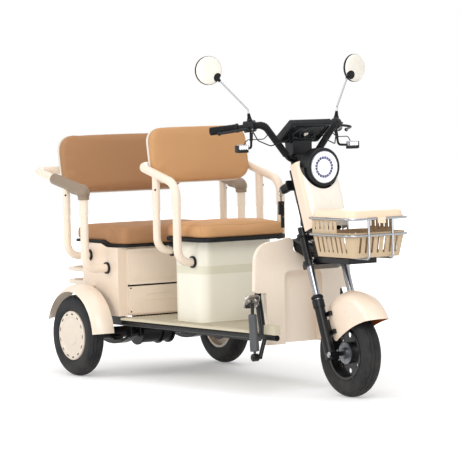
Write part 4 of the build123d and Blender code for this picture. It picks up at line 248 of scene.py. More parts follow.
def new_finish(key, slot_name, colour, roughness, metallic=0.0, coat=0.0,
               spread=0.03, cloud_scale=4.0, dust=0.0, dust_reach=0.45, rub=0.0,
               rubbed=None, grain=600.0, grain_depth=0.0, hide=False, second=None, mask=None,
               roughness_swing=0.08, specular=0.5, transmission=0.0, ior=1.5):
    """One finish: tone, wear, dust and grain feed a Principled shader in the material."""
    material = bpy.data.materials.new(key)
    material.use_nodes = True
    tree = material.node_tree
    tree.nodes.clear()
    shader = put(tree, "ShaderNodeBsdfPrincipled", Metallic=metallic,
                 Specular_IOR_Level=specular, Coat_Weight=coat,
                 Coat_Roughness=COAT_ROUGHNESS, IOR=ior, Transmission_Weight=transmission)
    surface = tree.nodes.new("ShaderNodeOutputMaterial")
    tree.links.new(shader.outputs[0], surface.inputs["Surface"])
    where = tree.nodes.new("ShaderNodeTexCoord").outputs["Object"]
    base = colour
    if second is not None:
        base = blend_colours(tree, mask(tree, where), colour, second)
    toned = place_effect(tree, "slow_tone", Color=base, Place=where, Scale=cloud_scale,
                         Spread=spread)
    current = toned.outputs["Color"]
    if rub:
        worn = place_effect(tree, "edge_rub", Color=current, Place=where,
                            Rubbed=rubbed or DUST, Amount=rub)
        current = worn.outputs["Color"]
    rough = spread_range(tree, toned.outputs["Cloud"], 0.3, 0.7,
                         roughness * (1 - roughness_swing), roughness * (1 + roughness_swing))
    if dust:
        dusty = place_effect(tree, "road_dust", Color=current, Place=where, Dust=DUST,
                             Reach=dust_reach, Amount=dust)
        current = dusty.outputs["Color"]
        rough = math_node(tree, "MULTIPLY_ADD", dusty.outputs["Mask"], 0.5, rough)
    tree.links.new(current, shader.inputs["Base Color"])
    tree.links.new(rough, shader.inputs["Roughness"])
    if grain_depth:
        effect = "hide_grain" if hide else "fine_grain"
        textured = place_effect(tree, effect, Place=where, Scale=grain)
        bump = put(tree, "ShaderNodeBump", Strength=0.6, Distance=grain_depth)
        tree.links.new(textured.outputs["Height"], bump.inputs["Height"])
        tree.links.new(bump.outputs["Normal"], shader.inputs["Normal"])
    FINISHES[key] = (material, slot_name)
    return material


# ---------------------------------------------------------------- where one piece has two colours, or painted shade on part of it
def side_mask(tree, _where):
    """1 on faces that look sideways, 0 on the front: the cowl's sides."""
    normal = tree.nodes.new("ShaderNodeTexCoord").outputs["Normal"]
    parts = put(tree, "ShaderNodeSeparateXYZ", Vector=normal)
    return spread_range(tree, math_node(tree, "ABSOLUTE", parts.outputs["Y"]), 0.55, 0.62)


FRONT_ARCH = Vector((0.903, 0.0, 0.251))
# Heights of the seat box's recessed band, which gets painted shade.
BAND_SHADE_LOW, BAND_SHADE_HIGH, BAND_SHADE_BLEND = 0.489, 0.529, 0.003


def arch_inside_shade_mask(tree, where):
    """1 on the hollow side of the front wheel arch, where painted shade goes."""
    normal = tree.nodes.new("ShaderNodeTexCoord").outputs["Normal"]
    out = put(tree, "ShaderNodeVectorMath", operation="SUBTRACT")
    tree.links.new(where, out.inputs[0])
    out.inputs[1].default_value = FRONT_ARCH
    facing = put(tree, "ShaderNodeVectorMath", operation="DOT_PRODUCT")
    tree.links.new(out.outputs[0], facing.inputs[0])
    tree.links.new(normal, facing.inputs[1])
    return spread_range(tree, facing.outputs["Value"], 0.002, -0.002)


def seat_box_band_shade_mask(tree, where):
    """1 inside the recessed band that runs round the driver's seat box, where its painted shade
    goes.
    """
    parts = put(tree, "ShaderNodeSeparateXYZ", Vector=where)
    lower = spread_range(tree, parts.outputs["Z"], BAND_SHADE_LOW, BAND_SHADE_LOW + BAND_SHADE_BLEND)
    upper = spread_range(tree, parts.outputs["Z"], BAND_SHADE_HIGH, BAND_SHADE_HIGH - BAND_SHADE_BLEND)
    return math_node(tree, "MULTIPLY", lower, upper)


# ---------------------------------------------------------------- the finishes
PEACH = tone(240, 223, 204)
CREAM = tone(245, 240, 229)
new_finish("peach_paint", "paint", PEACH, 0.32, coat=0.3, spread=0.02, dust=0.10,
           rub=0.12, rubbed=tone(250, 238, 226), grain=260.0, grain_depth=0.0002)
new_finish("box_paint", "paint", tone(234, 214, 193), 0.34, coat=0.3, spread=0.02, dust=0.12,
           rub=0.1, rubbed=tone(247, 232, 216), grain=260.0, grain_depth=0.0002)
# The seat box's recessed band is painted a darker ivory: painted shade in the recess.
new_finish("ivory_paint", "ivory", tone(239, 235, 219), 0.36, coat=0.3, spread=0.018, dust=0.12,
           grain=260.0, grain_depth=0.0002, second=tone(224, 221, 198), mask=seat_box_band_shade_mask)
new_finish("black_frame_paint", "black_metal", tone(10, 10, 13), 0.34, coat=0.12,
           specular=0.22, spread=0.06, dust=0.05, dust_reach=0.35, rub=0.12,
           rubbed=tone(70, 70, 72), grain=420.0, grain_depth=0.0003)
new_finish("chrome_plate", "chrome", tone(164, 166, 170), 0.13, metallic=1.0, spread=0.04,
           roughness_swing=0.4, rub=0.2, rubbed=tone(196, 196, 198))
new_finish("fork_steel", "chrome", tone(158, 160, 165), 0.16, metallic=1.0, spread=0.03,
           roughness_swing=0.4)
new_finish("tyre_rubber", "tyre_rubber", tone(26, 28, 32), 0.62, spread=0.06, cloud_scale=9.0,
           dust=0.10, dust_reach=0.5, grain=900.0, grain_depth=0.0005, specular=0.25)
new_finish("wheel_cream", "rim_cream", tone(228, 213, 196), 0.38, coat=0.25, spread=0.03,
           dust=0.14, rub=0.2, rubbed=tone(250, 244, 232), grain=300.0, grain_depth=0.0002)
new_finish("wheel_black", "black_metal", tone(9, 9, 12), 0.24, coat=0.20, specular=0.3,
           spread=0.05, dust=0.05, grain=300.0, grain_depth=0.0002)
new_finish("cast_alloy", "hub_aluminium", tone(128, 130, 135), 0.32, metallic=1.0, spread=0.06,
           dust=0.08, grain=700.0, grain_depth=0.0004, roughness_swing=0.25)
new_finish("black_plastic", "black_plastic", tone(17, 18, 21), 0.40, spread=0.05,
           specular=0.26, dust=0.03, rub=0.15, rubbed=tone(80, 80, 82), grain=1100.0,
           grain_depth=0.0004)
new_finish("soft_black", "black_plastic", tone(15, 16, 19), 0.58, spread=0.06, specular=0.24,
           rub=0.10, rubbed=tone(70, 70, 72), grain=900.0, grain_depth=0.0005)
new_finish("boot_grey", "black_plastic", tone(70, 72, 76), 0.50, spread=0.05, dust=0.16,
           grain=900.0, grain_depth=0.0004)
new_finish("cowl_shell", "cream_plastic", CREAM, 0.28, coat=0.4, spread=0.012,
           second=tone(240, 212, 190), mask=side_mask, grain=240.0, grain_depth=0.0001)
new_finish("mirror_shell", "cream_plastic", tone(240, 234, 222), 0.30, coat=0.4, spread=0.012)
new_finish("back_shell", "cream_plastic", tone(226, 218, 204), 0.40, spread=0.02,
           grain=800.0, grain_depth=0.0003)
# The fender's hollow inside is painted a dark orange-brown: painted shade, with the warm tint of
# reflected peach plastic.
new_finish("arch_peach_inner_shade", "peach_plastic", tone(240, 220, 199), 0.28, coat=0.35, spread=0.015,
           dust=0.10, second=tone(176, 96, 50), mask=arch_inside_shade_mask, grain=240.0,
           grain_depth=0.0001)
new_finish("lid_peach", "peach_plastic", tone(242, 218, 190), 0.40, coat=0.1, specular=0.3,
           spread=0.02, grain=420.0, grain_depth=0.0002)
new_finish("basket_beige", "beige_plastic", tone(196, 173, 142), 0.46, specular=0.3, spread=0.03,
           rub=0.2, rubbed=tone(226, 206, 178), grain=700.0, grain_depth=0.0003)
new_finish("floor_khaki", "floor_mat", tone(176, 166, 144), 0.62, spread=0.07, cloud_scale=7.0,
           dust=0.35, dust_reach=1.2, grain=500.0, grain_depth=0.0005)
new_finish("fascia_sand", "floor_mat", tone(204, 194, 170), 0.5, spread=0.04, dust=0.2,
           grain=600.0, grain_depth=0.0003)
for hide_side, hide_tone in (("front", tone(204, 155, 108)), ("rear", tone(176, 131, 93))):
    new_finish(f"{hide_side}_hide", f"{hide_side}_leather", hide_tone, 0.62, spread=0.04,
               specular=0.2, cloud_scale=3.0, grain=520.0, grain_depth=0.0006, hide=True,
               roughness_swing=0.12)
new_finish("seam_thread", "front_leather", tone(164, 118, 76), 0.7, spread=0.08,
           grain=1500.0, grain_depth=0.0003)
new_finish("arm_foam", "pad_foam", tone(138, 119, 100), 0.50, spread=0.05, grain=900.0,
           grain_depth=0.0006)
new_finish("red_lamp", "red_lens", tone(150, 22, 18), 0.16, coat=0.8, spread=0.05)
new_finish("clear_cover", "lens", tone(250, 251, 252), 0.03, spread=0.0, transmission=1.0,
           roughness_swing=0.0, ior=1.45)
new_finish("mirror_face", "mirror_face", tone(226, 230, 234), 0.02, metallic=1.0, spread=0.01)
new_finish("lamp_cell", "lens", tone(46, 42, 92), 0.15, spread=0.2, coat=0.6)
new_finish("key_brass", "chrome", tone(176, 150, 96), 0.26, metallic=1.0, spread=0.05)
new_finish("polished_steel", "chrome", tone(186, 180, 176), 0.16, metallic=1.0, spread=0.08,
           cloud_scale=30.0, roughness_swing=0.5, grain=260.0, grain_depth=0.0006)


def lit_finish(key, slot_name, colour, strength):
    """A lamp part that gives off a little light of its own."""
    new_finish(key, slot_name, colour, 0.3, spread=0.02)
    shader = next(n for n in FINISHES[key][0].node_tree.nodes if n.type == "BSDF_PRINCIPLED")
    shader.inputs["Emission Color"].default_value = colour
    shader.inputs["Emission Strength"].default_value = strength


lit_finish("lamp_white", "lens", tone(252, 252, 255), 0.75)
lit_finish("lamp_violet", "lens", tone(206, 204, 236), 0.30)
lit_finish("lamp_grey", "lens", tone(170, 172, 180), 0.10)


# ---------------------------------------------------------------- shape helpers
AHEAD, LEFT, UP = Vector((1, 0, 0)), Vector((0, 1, 0)), Vector((0, 0, 1))


def add_piece(name, points, faces, finish, body, sharp=38.0):
    """A mesh piece in its finish, riding on a body."""
    mesh = bpy.data.meshes.new(name)
    mesh.from_pydata([tuple(p) for p in points], [], faces)
    mesh.validate()
    mesh.shade_smooth()
    mesh.set_sharp_from_angle(angle=math.radians(sharp))
    material, slot_name = FINISHES[finish]
    mesh.materials.append(material)
    piece = bpy.data.objects.new(name, mesh)
    scene.collection.objects.link(piece)
    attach(piece, body)
    return piece


def soften(piece, width):
    bevel = piece.modifiers.new("soft_edge", "BEVEL")
    bevel.width = width
    bevel.segments = 2
    bevel.limit_method = "ANGLE"
    bevel.angle_limit = math.radians(40)
    return piece


def end_faces(rings, count):
    """The first and the last ring's own faces."""
    return [tuple(reversed(range(count))), tuple(range((rings - 1) * count, rings * count))]


def bridge_rings(rings, count, closed=False):
    """Faces between rings of the same count of points."""
    faces = []
    last = rings if closed else rings - 1
    for ring in range(last):
        for step in range(count):
            a = ring * count + step
            b = ring * count + (step + 1) % count
            c = ((ring + 1) % rings) * count + (step + 1) % count
            d = ((ring + 1) % rings) * count + step
            faces.append((a, b, c, d))
    return faces


BEND_STEPS = 7


def round_path(points, bend, cyclic=False):
    """The points with each corner turned into an arc of the bend radius."""
    points = [Vector(p) for p in points]
    if bend <= 0:
        return points
    count = len(points)
    path = [] if cyclic else [points[0]]
    corners = range(count) if cyclic else range(1, count - 1)
    for place in corners:
        here = points[place]
        back = points[place - 1] - here
        ahead = points[(place + 1) % count] - here
        turn = math.pi - back.angle(ahead)
        if turn < 0.02:
            path.append(here)
            continue
        reach = min(bend * math.tan(turn / 2), 0.49 * back.length, 0.49 * ahead.length)
        radius = reach / math.tan(turn / 2)
        middle_way = (back.normalized() + ahead.normalized()).normalized()
        centre = here + middle_way * (radius / math.cos(turn / 2))
        start = here + back.normalized() * reach - centre
        finish = here + ahead.normalized() * reach - centre
        for step in range(BEND_STEPS + 1):
            share = step / BEND_STEPS
            path.append(centre + (start * math.sin((1 - share) * turn)
                                  + finish * math.sin(share * turn)) / math.sin(turn))
    if not cyclic:
        path.append(points[-1])
    return path


def even_path(path, step):
    """The path cut into equal short steps, with its last point kept."""
    even = [path[0]]
    spare = 0.0
    for first, second in zip(path[:-1], path[1:]):
        run = (second - first).length
        along = step - spare
        while along <= run:
            even.append(first.lerp(second, along / run))
            along += step
        spare = run - (along - step)
    even.append(path[-1])
    return even


def square_to(way):
    """A direction square to this one."""
    guide = UP if abs(way.z) < 0.9 else AHEAD
    return guide.cross(way).normalized()


def sweep(name, points, radius, finish, body, bend=0.0, sides=14, cyclic=False, pitch=None):
    """A round bar along a path; radius may be a function of the distance along it."""
    path = round_path(points, bend, cyclic)
    if pitch:
        path = even_path(path, pitch)
    count = len(path)
    along = [0.0]
    for first, second in zip(path[:-1], path[1:]):
        along.append(along[-1] + (second - first).length)
    radii = [radius(d) if callable(radius) else radius for d in along]
    verts = []
    normal = None
    for place, here in enumerate(path):
        if cyclic:
            ahead = (path[(place + 1) % count] - path[place - 1]).normalized()
        else:
            ahead = (path[min(place + 1, count - 1)] - path[max(place - 1, 0)]).normalized()
        if normal is None:
            normal = square_to(ahead)
        normal = (normal - ahead * normal.dot(ahead)).normalized()
        side = ahead.cross(normal)
        for step in range(sides):
            angle = 2 * math.pi * step / sides
            verts.append(here + (normal * math.cos(angle) + side * math.sin(angle)) * radii[place])
    faces = bridge_rings(count, sides, cyclic)
    if not cyclic:
        faces += end_faces(count, sides)
    return add_piece(name, verts, faces, finish, body)


ON_AXIS = 1e-5
TURNED_SHARP = 30.0


def axis_frame(axis):
    """Two directions square to the axis."""
    axis = Vector(axis).normalized()
    first = square_to(axis)
    return axis, first, axis.cross(first)


def lathe(name, profile, centre, axis, finish, body, segments=64, closed=False):
    """A turned piece: profile is (distance along the axis, radius), open or touching the axis."""
    axis, first, second = axis_frame(axis)
    centre = Vector(centre)
    verts = []
    for along, radius in profile:
        for step in range(segments):
            angle = 2 * math.pi * step / segments
            out = first * math.cos(angle) + second * math.sin(angle)
            verts.append(centre + axis * along + out * max(radius, ON_AXIS))
    faces = bridge_rings(len(profile), segments, closed)
    if not closed:
        ends = zip((profile[0], profile[-1]), end_faces(len(profile), segments))
        faces += [face for (along, radius), face in ends if radius > 10 * ON_AXIS]
    return add_piece(name, verts, faces, finish, body, TURNED_SHARP)


def ring_piece(name, profile, centre, axis, finish, body, segments=72):
    """A turned ring: the profile closes on itself and stays off the axis."""
    return lathe(name, profile, centre, axis, finish, body, segments, closed=True)


def rounded_outline(half_u, half_v, corner, per_corner=10):
    """Points of a rounded rectangle, anticlockwise."""
    corner = min(corner, half_u * 0.999, half_v * 0.999)
    outline = []
    for quarter, (su, sv) in enumerate(((1, 1), (-1, 1), (-1, -1), (1, -1))):
        for step in range(per_corner + 1):
            angle = math.pi / 2 * (quarter + step / per_corner)
            outline.append((su * (half_u - corner) + corner * math.cos(angle),
                            sv * (half_v - corner) + corner * math.sin(angle)))
    return outline


def slab(name, outline, base, thickness, finish, body, edge=0.001):
    """A flat plate: outline in the base matrix's x and y, thickness along its z."""
    count = len(outline)
    verts = [base @ Vector((u, v, w)) for w in (0.0, thickness) for u, v in outline]
    faces = bridge_rings(2, count) + end_faces(2, count)
    piece = add_piece(name, verts, faces, finish, body)
    if edge:
        soften(piece, edge)
    return piece


def rim_frame(name, half_u, half_v, corner, width, base, height, finish, body, edge=0.0008):
    """A raised rounded frame of that width, standing on the base matrix's plane."""
    outer = rounded_outline(half_u, half_v, corner)
    inner = rounded_outline(half_u - width, half_v - width, max(corner - width, 0.001))
    verts = []
    for outline, low in ((outer, True), (outer, False), (inner, False), (inner, True)):
        verts += [base @ Vector((u, v, 0.0 if low else height)) for u, v in outline]
    faces = bridge_rings(4, len(outer), closed=True)
    piece = add_piece(name, verts, faces, finish, body)
    if edge:
        soften(piece, edge)
    return piece


def rounded_block(name, size, corner, base, finish, body, edge=0.002):
    """A moulded block: rounded in plan, softened above and below, resting on the base."""
    outline = rounded_outline(size[0] / 2, size[1] / 2, corner, 6)
    return slab(name, outline, base, size[2], finish, body, edge=edge)


def base_matrix(origin, x_dir, z_dir):
    x_dir = Vector(x_dir).normalized()
    z_dir = Vector(z_dir).normalized()
    y_dir = z_dir.cross(x_dir)
    matrix = Matrix((x_dir, y_dir, z_dir)).transposed().to_4x4()
    matrix.translation = Vector(origin)
    return matrix


def dress(node, finish):
    """Gives a CAD node its finish."""
    part = frame["nodes"][node]
    part.data.materials.clear()
    part.data.materials.append(FINISHES[finish][0])
    part.data.shade_smooth()
    part.data.set_sharp_from_angle(angle=math.radians(32))


def middle(node):
    low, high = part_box(node)
    return (Vector(low) + Vector(high)) / 2


# ---------------------------------------------------------------- camera, floor and light
VIEW_AROUND = math.radians(56.14)
VIEW_UP = math.radians(3.14)
VIEW_ROLL = math.radians(-1.23)
VIEW_DISTANCE = 12.157
VIEW_AIM = Vector((-0.0448, 0.0, 0.679))
LENS_LENGTH = 211.3
SENSOR_WIDTH = 36.0
VIEW_REACH = 60.0


def set_camera():
    """A long lens a little above the seats, from ahead on the right."""
    back = Vector((math.sin(VIEW_AROUND) * math.cos(VIEW_UP),
                   -math.cos(VIEW_AROUND) * math.cos(VIEW_UP), math.sin(VIEW_UP)))
    right = Vector((math.cos(VIEW_AROUND), math.sin(VIEW_AROUND), 0.0))
    up = back.cross(right)
    turned_right = right * math.cos(VIEW_ROLL) + up * math.sin(VIEW_ROLL)
    turned_up = up * math.cos(VIEW_ROLL) - right * math.sin(VIEW_ROLL)
    camera = bpy.data.objects.new("view_camera", bpy.data.cameras.new("view_camera"))
    camera.data.sensor_width = SENSOR_WIDTH
    camera.data.lens = LENS_LENGTH
    camera.data.clip_end = VIEW_REACH
    place = Matrix((turned_right, turned_up, back)).transposed().to_4x4()
    place.translation = VIEW_AIM + back * VIEW_DISTANCE
    camera.matrix_world = place
    scene.collection.objects.link(camera)
    scene.camera = camera


def split_rays(tree, surface, bounced, seen):
    """One shader for what the camera, mirrors and glass see, one for light that bounces on."""
    rays = tree.nodes.new("ShaderNodeLightPath").outputs
    share = math_node(tree, "MAXIMUM", rays["Is Camera Ray"], rays["Is Glossy Ray"])
    share = math_node(tree, "MAXIMUM", share, rays["Is Transmission Ray"])
    choose = tree.nodes.new("ShaderNodeMixShader")
    for place, value in enumerate((share, bounced.outputs[0], seen.outputs[0])):
        tree.links.new(value, choose.inputs[place])
    tree.links.new(choose.outputs[0], surface.inputs["Surface"])


FLOOR_HALF = 14.0
SHADOW_REACH, WHITE_REACH = 1.3, 4.2
NEAR_GLOW = 0.26
WORLD_LIGHT = 0.60


def set_floor():
    """A pale floor that keeps the shadow and is white away from it."""
    mesh = bpy.data.meshes.new("studio_floor")
    corners = [(x * FLOOR_HALF, y * FLOOR_HALF, 0)
               for x, y in ((-1, -1), (1, -1), (1, 1), (-1, 1))]
    mesh.from_pydata(corners, [], [(0, 1, 2, 3)])
    floor = bpy.data.objects.new("studio_floor", mesh)
    scene.collection.objects.link(floor)
    material = bpy.data.materials.new("studio_floor")
    material.use_nodes = True
    tree = material.node_tree
    tree.nodes.clear()
    surface = tree.nodes.new("ShaderNodeOutputMaterial")
    matt = put(tree, "ShaderNodeBsdfDiffuse", Color=tone(240, 240, 240))
    away = put(tree, "ShaderNodeVectorMath", operation="LENGTH")
    tree.links.new(tree.nodes.new("ShaderNodeTexCoord").outputs["Object"], away.inputs[0])
    glow = spread_range(tree, away.outputs["Value"], SHADOW_REACH, WHITE_REACH, NEAR_GLOW)
    lift = put(tree, "ShaderNodeEmission", Color=(1, 1, 1, 1), Strength=glow)
    both = tree.nodes.new("ShaderNodeAddShader")
    tree.links.new(matt.outputs[0], both.inputs[0])
    tree.links.new(lift.outputs[0], both.inputs[1])
    split_rays(tree, surface, matt, both)
    mesh.materials.append(material)


def set_world():
    """White to the camera, mirrors and glass, and an even soft grey light for the object."""
    world = bpy.data.worlds.new("studio")
    scene.world = world
    world.use_nodes = True
    tree = world.node_tree
    tree.nodes.clear()
    surface = tree.nodes.new("ShaderNodeOutputWorld")
    lighting = put(tree, "ShaderNodeBackground", Color=(1, 1, 1, 1), Strength=WORLD_LIGHT)
    shown = put(tree, "ShaderNodeBackground", Color=(1, 1, 1, 1), Strength=1.0)
    split_rays(tree, surface, lighting, shown)


def soft_lamp(name, place, aim, size, power):
    lamp = bpy.data.lights.new(name, "AREA")
    lamp.shape = "RECTANGLE"
    lamp.size, lamp.size_y = size
    lamp.energy = power
    holder = bpy.data.objects.new(name, lamp)
    holder.location = place
    holder.rotation_euler = (Vector(aim) - Vector(place)).to_track_quat("-Z", "Y").to_euler()
    scene.collection.objects.link(holder)


set_camera()
set_floor()
set_world()
soft_lamp("front_softbox", (4.6, -3.2, 3.4), (0.2, 0, 0.6), (3.0, 2.6), 114)
soft_lamp("side_softbox", (-1.6, -4.8, 2.8), (-0.3, 0, 0.6), (3.4, 2.4), 90)
soft_lamp("top_softbox", (0.2, 0.4, 4.6), (0, 0, 0.5), (3.6, 3.0), 50)
soft_lamp("back_softbox", (-3.8, 3.6, 2.8), (-0.2, 0, 0.7), (2.6, 2.2), 45)
soft_lamp("low_front_softbox", (4.4, -1.4, 1.0), (0.3, 0, 0.5), (2.4, 1.6), 30)

# ---------------------------------------------------------------- wheels
WHEELS = {
    "rear_tyre_right": "rear_wheel_right",
    "rear_tyre_left": "rear_wheel_left",
    "front_tyre": "front_wheel",
}
TYRE_TURNS = 336
TREAD_ROWS = 84
WALL_ROWS = 16
SCALLOPS = 16
TREAD_ARC = math.radians(104)
TREAD_FADE = 0.35
TREAD_DEPTH = 0.0026
TYRE_SECTION = 0.074
SIDE_GAP = 0.0003
WALL_RINGS = ((2.15, 0.0009), (2.62, 0.0007))
WALL_RING_WIDTH = 0.05


def tread_depth(arc, turn):
    """How far the tyre is cut there: arc runs across the tread, turn goes round the wheel."""
    side = abs(arc)
    wave = abs(math.sin(turn * SCALLOPS / 2))
    other = abs(math.sin(turn * SCALLOPS / 2 + math.pi / 2))
    lines = (
        (0.0, 0.030, 0.6),
        (0.24, 0.036, 1.0),
        (0.52 + 0.17 * wave, 0.040, 1.0),
        (0.86 + 0.22 * other, 0.040, 1.0),
    )
    depth = 0.0
    for middle_arc, half_width, share in lines:
        away = abs(side - middle_arc) / half_width
        depth = max(depth, share * max(0.0, 1.0 - away ** 3))
    return depth * TREAD_DEPTH


def tyre_outline(arc, radius, half_width):
    """A point of the tyre's section: distance out from the axis and distance sideways."""
    centre = radius - TYRE_SECTION / 2
    quarter = math.pi / 2
    if abs(arc) <= quarter:
        out = centre + TYRE_SECTION / 2 * math.cos(arc) ** 0.86
        return out, half_width * math.sin(arc)
    fall = (abs(arc) - quarter) / quarter
    out = centre - (TYRE_SECTION / 2 - 0.001) * math.sin(fall * quarter)
    tuck = 0.0115 * (1 - math.cos(fall * quarter)) ** 0.9
    return out, math.copysign(half_width - tuck, arc)


def build_tyre(node, body):
    """A road tyre with scalloped shoulder grooves, sidewall rings and closed beads."""
    low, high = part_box(node)
    centre = middle(node)
    radius = (high[2] - low[2]) / 2
    half_width = (high[1] - low[1]) / 2 - SIDE_GAP
    arcs = [TREAD_ARC * (row / TREAD_ROWS - 0.5) for row in range(TREAD_ROWS + 1)]
    walls = [TREAD_ARC / 2 + (math.pi - TREAD_ARC / 2) * (row + 1) / WALL_ROWS
             for row in range(WALL_ROWS)]
    arcs = [-a for a in reversed(walls)] + arcs + walls
    verts = []
    turns = [2 * math.pi * step / TYRE_TURNS for step in range(TYRE_TURNS)]
    for arc in arcs:
        out, wide = tyre_outline(arc, radius, half_width)
        side = abs(arc)
        ring = sum(rise * math.exp(-((side - place) / WALL_RING_WIDTH) ** 2)
                   for place, rise in WALL_RINGS)
        for turn in turns:
            cut = tread_depth(arc, turn) if side <= TREAD_ARC / 2 + TREAD_FADE else 0.0
            lean_wide = math.sin(arc)
            reach = out - cut * math.cos(arc)
            across = wide - cut * lean_wide + math.copysign(ring, arc) * abs(lean_wide)
            verts.append((centre.x + reach * math.cos(turn), centre.y + across,
                          centre.z + reach * math.sin(turn)))
    faces = bridge_rings(len(arcs), TYRE_TURNS, closed=True)
    tyre = add_piece(node + "_rubber", verts, faces, "tyre_rubber", body, sharp=50.0)
    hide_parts(node)


for tyre_node, wheel_body in WHEELS.items():
    build_tyre(tyre_node, wheel_body)


def hex_nut(name, centre, axis, across, height, finish, body):
    """A nut with a chamfered top."""
    axis, first, second = axis_frame(axis)
    centre = Vector(centre)
    shoulder = height * 0.78
    verts = []
    for along, radius in ((0.0, across / 2), (shoulder, across / 2),
                          (height, across / 2 * 0.86)):
        for step in range(12):
            angle = math.pi / 6 * step
            corner = along <= shoulder and step % 2 == 0
            reach = radius / math.cos(math.pi / 6) if corner else radius
            verts.append(centre + axis * along
                         + (first * math.cos(angle) + second * math.sin(angle)) * reach)
    faces = bridge_rings(3, 12) + end_faces(3, 12)
    return add_piece(name, verts, faces, finish, body, sharp=25.0)


def button_head(name, centre, axis, radius, finish, body):
    """A domed screw head with a shallow socket."""
    height = radius * 0.55
    profile = [(0.0, radius), (height * 0.4, radius), (height * 0.8, radius * 0.82),
               (height, radius * 0.5), (height, radius * 0.36), (height * 0.5, radius * 0.3),
               (height * 0.5, 0.0)]
    return lathe(name, profile, centre, axis, finish, body, segments=20)


SIDES = (("right", 1), ("left", -1))
VALVE_ANGLE = math.radians(-16)


def dress_rear_wheels():
    """Cream rims and caps, a step on each cap, and a valve."""
    for side, sign in SIDES:
        body = "rear_wheel_" + side
        dress("rear_rim_" + side, "wheel_cream")
        dress("rear_hubcap_" + side, "wheel_cream")
        low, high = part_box("rear_hubcap_" + side)
        centre = middle("rear_hubcap_" + side)
        face = low[1] if sign > 0 else high[1]
        cap = Vector((centre.x, face + sign * 0.0015, centre.z))
        ring = [(0.0, 0.0440), (0.0012, 0.0432), (0.0014, 0.0415), (0.0004, 0.0404),
                (-0.0012, 0.0404), (-0.0012, 0.0440)]
        ring_piece(f"cap_step_{side}", ring, cap, (0, -sign, 0), "wheel_cream", body)
        out = Vector((-math.cos(VALVE_ANGLE) * sign, 0, math.sin(VALVE_ANGLE)))
        start = Vector((centre.x, face + sign * 0.012, centre.z)) + out * 0.088
        sweep(f"valve_{side}", [start, start + out * 0.010 - LEFT * sign * 0.008,
                                start + out * 0.012 - LEFT * sign * 0.010],
              0.004, "soft_black", body, bend=0.004, sides=12)


HUB_SCREWS = 5
HUB_SCREW_REACH = 0.034


def dress_front_wheel():
    """The black cast wheel with its hub cover's screws."""
    dress("front_rim", "wheel_black")
    dress("front_hub", "cast_alloy")
    low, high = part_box("front_hub")
    centre = middle("front_hub")
    for side, sign in SIDES:
        face = low[1] if sign > 0 else high[1]
        for count in range(HUB_SCREWS):
            angle = 2 * math.pi * (count + 0.25) / HUB_SCREWS
            out = Vector((math.cos(angle), 0, math.sin(angle)))
            spot = Vector((centre.x, face + sign * 0.0005, centre.z)) + out * HUB_SCREW_REACH
            button_head(f"hub_screw_{side}_{count}", spot, (0, -sign, 0), 0.0045, "cast_alloy",
                        "front_wheel")


dress_rear_wheels()
dress_front_wheel()

# ---------------------------------------------------------------- the finish of each node
NODE_FINISHES = {
    "black_frame_paint": ("rear_axle", "leaf_springs", "frame", "fork_crown", "fork_sliders",
                          "handlebar"),
    "black_plastic": ("battery_block", "stem_cover", "headlight", "hand_controls", "dash",
                      "turn_signals", "ignition_key"),
    "soft_black": ("front_seat_base", "rear_seat_base", "armrest_collars", "neck_cover", "grips",
                   "control_cables"),
    "peach_paint": ("legshield", "rear_box_panels", "front_armrest_frame",
                    "rear_armrest_frame", "rear_fenders", "rear_bumper"),
    "box_paint": ("rear_box",),
    "ivory_paint": ("front_seat_box",),
    "fascia_sand": ("floor_board",),
    "fork_steel": ("fork_stanchions",),
    "chrome_plate": ("basket_rack",),
    "basket_beige": ("basket_tub",),
    "lid_peach": ("basket_lid",),
    "arch_peach_inner_shade": ("front_fender",),
    "cowl_shell": ("cowl",),
    "back_shell": ("front_backrest_shell", "rear_backrest_shell"),
    "arm_foam": ("rear_arm_pads",),
    "boot_grey": ("brake_pedal",),
    "red_lamp": ("tail_lamps",),
    "mirror_face": ("mirror_glasses",),
}
for node_finish, dressed_nodes in NODE_FINISHES.items():
    for dressed_node in dressed_nodes:
        dress(dressed_node, node_finish)


# ---------------------------------------------------------------- cushions
def world_points(mesh):
    flat = np.empty(len(mesh.vertices) * 3)
    mesh.vertices.foreach_get("co", flat)
    return flat.reshape(-1, 3)


def crowned(points, low, high, drop):
    """The points with the cushion's top brought down towards its edges."""
    middle_x, middle_y = (low[0] + high[0]) / 2, (low[1] + high[1]) / 2
    along = np.abs(points[:, 0] - middle_x) / (high[0] - low[0]) * 2
    across = np.abs(points[:, 1] - middle_y) / (high[1] - low[1]) * 2
    edge = np.clip(along ** 3 + across ** 4, 0, 1)
    crown = points.copy()
    crown[:, 2] = low[2] + (points[:, 2] - low[2]) * (1 - drop * edge)
    return crown


SETTLE_STEPS = 14
CLOTH_FRAMES = 20
CLOTH_STIFFNESS = 60.0
SHEAR_STIFFNESS = 30.0
BEND_STIFFNESS = 20.0
PRESSURE = 4.0
VOXEL = 0.006
HELD_LEAST = 0.01


def take_shape(pad):
    """Keeps what the piece's modifiers make of it as its mesh."""
    graph = bpy.context.evaluated_depsgraph_get()
    mesh = bpy.data.meshes.new_from_object(pad.evaluated_get(graph))
    pad.modifiers.clear()
    pad.data = mesh
    return mesh


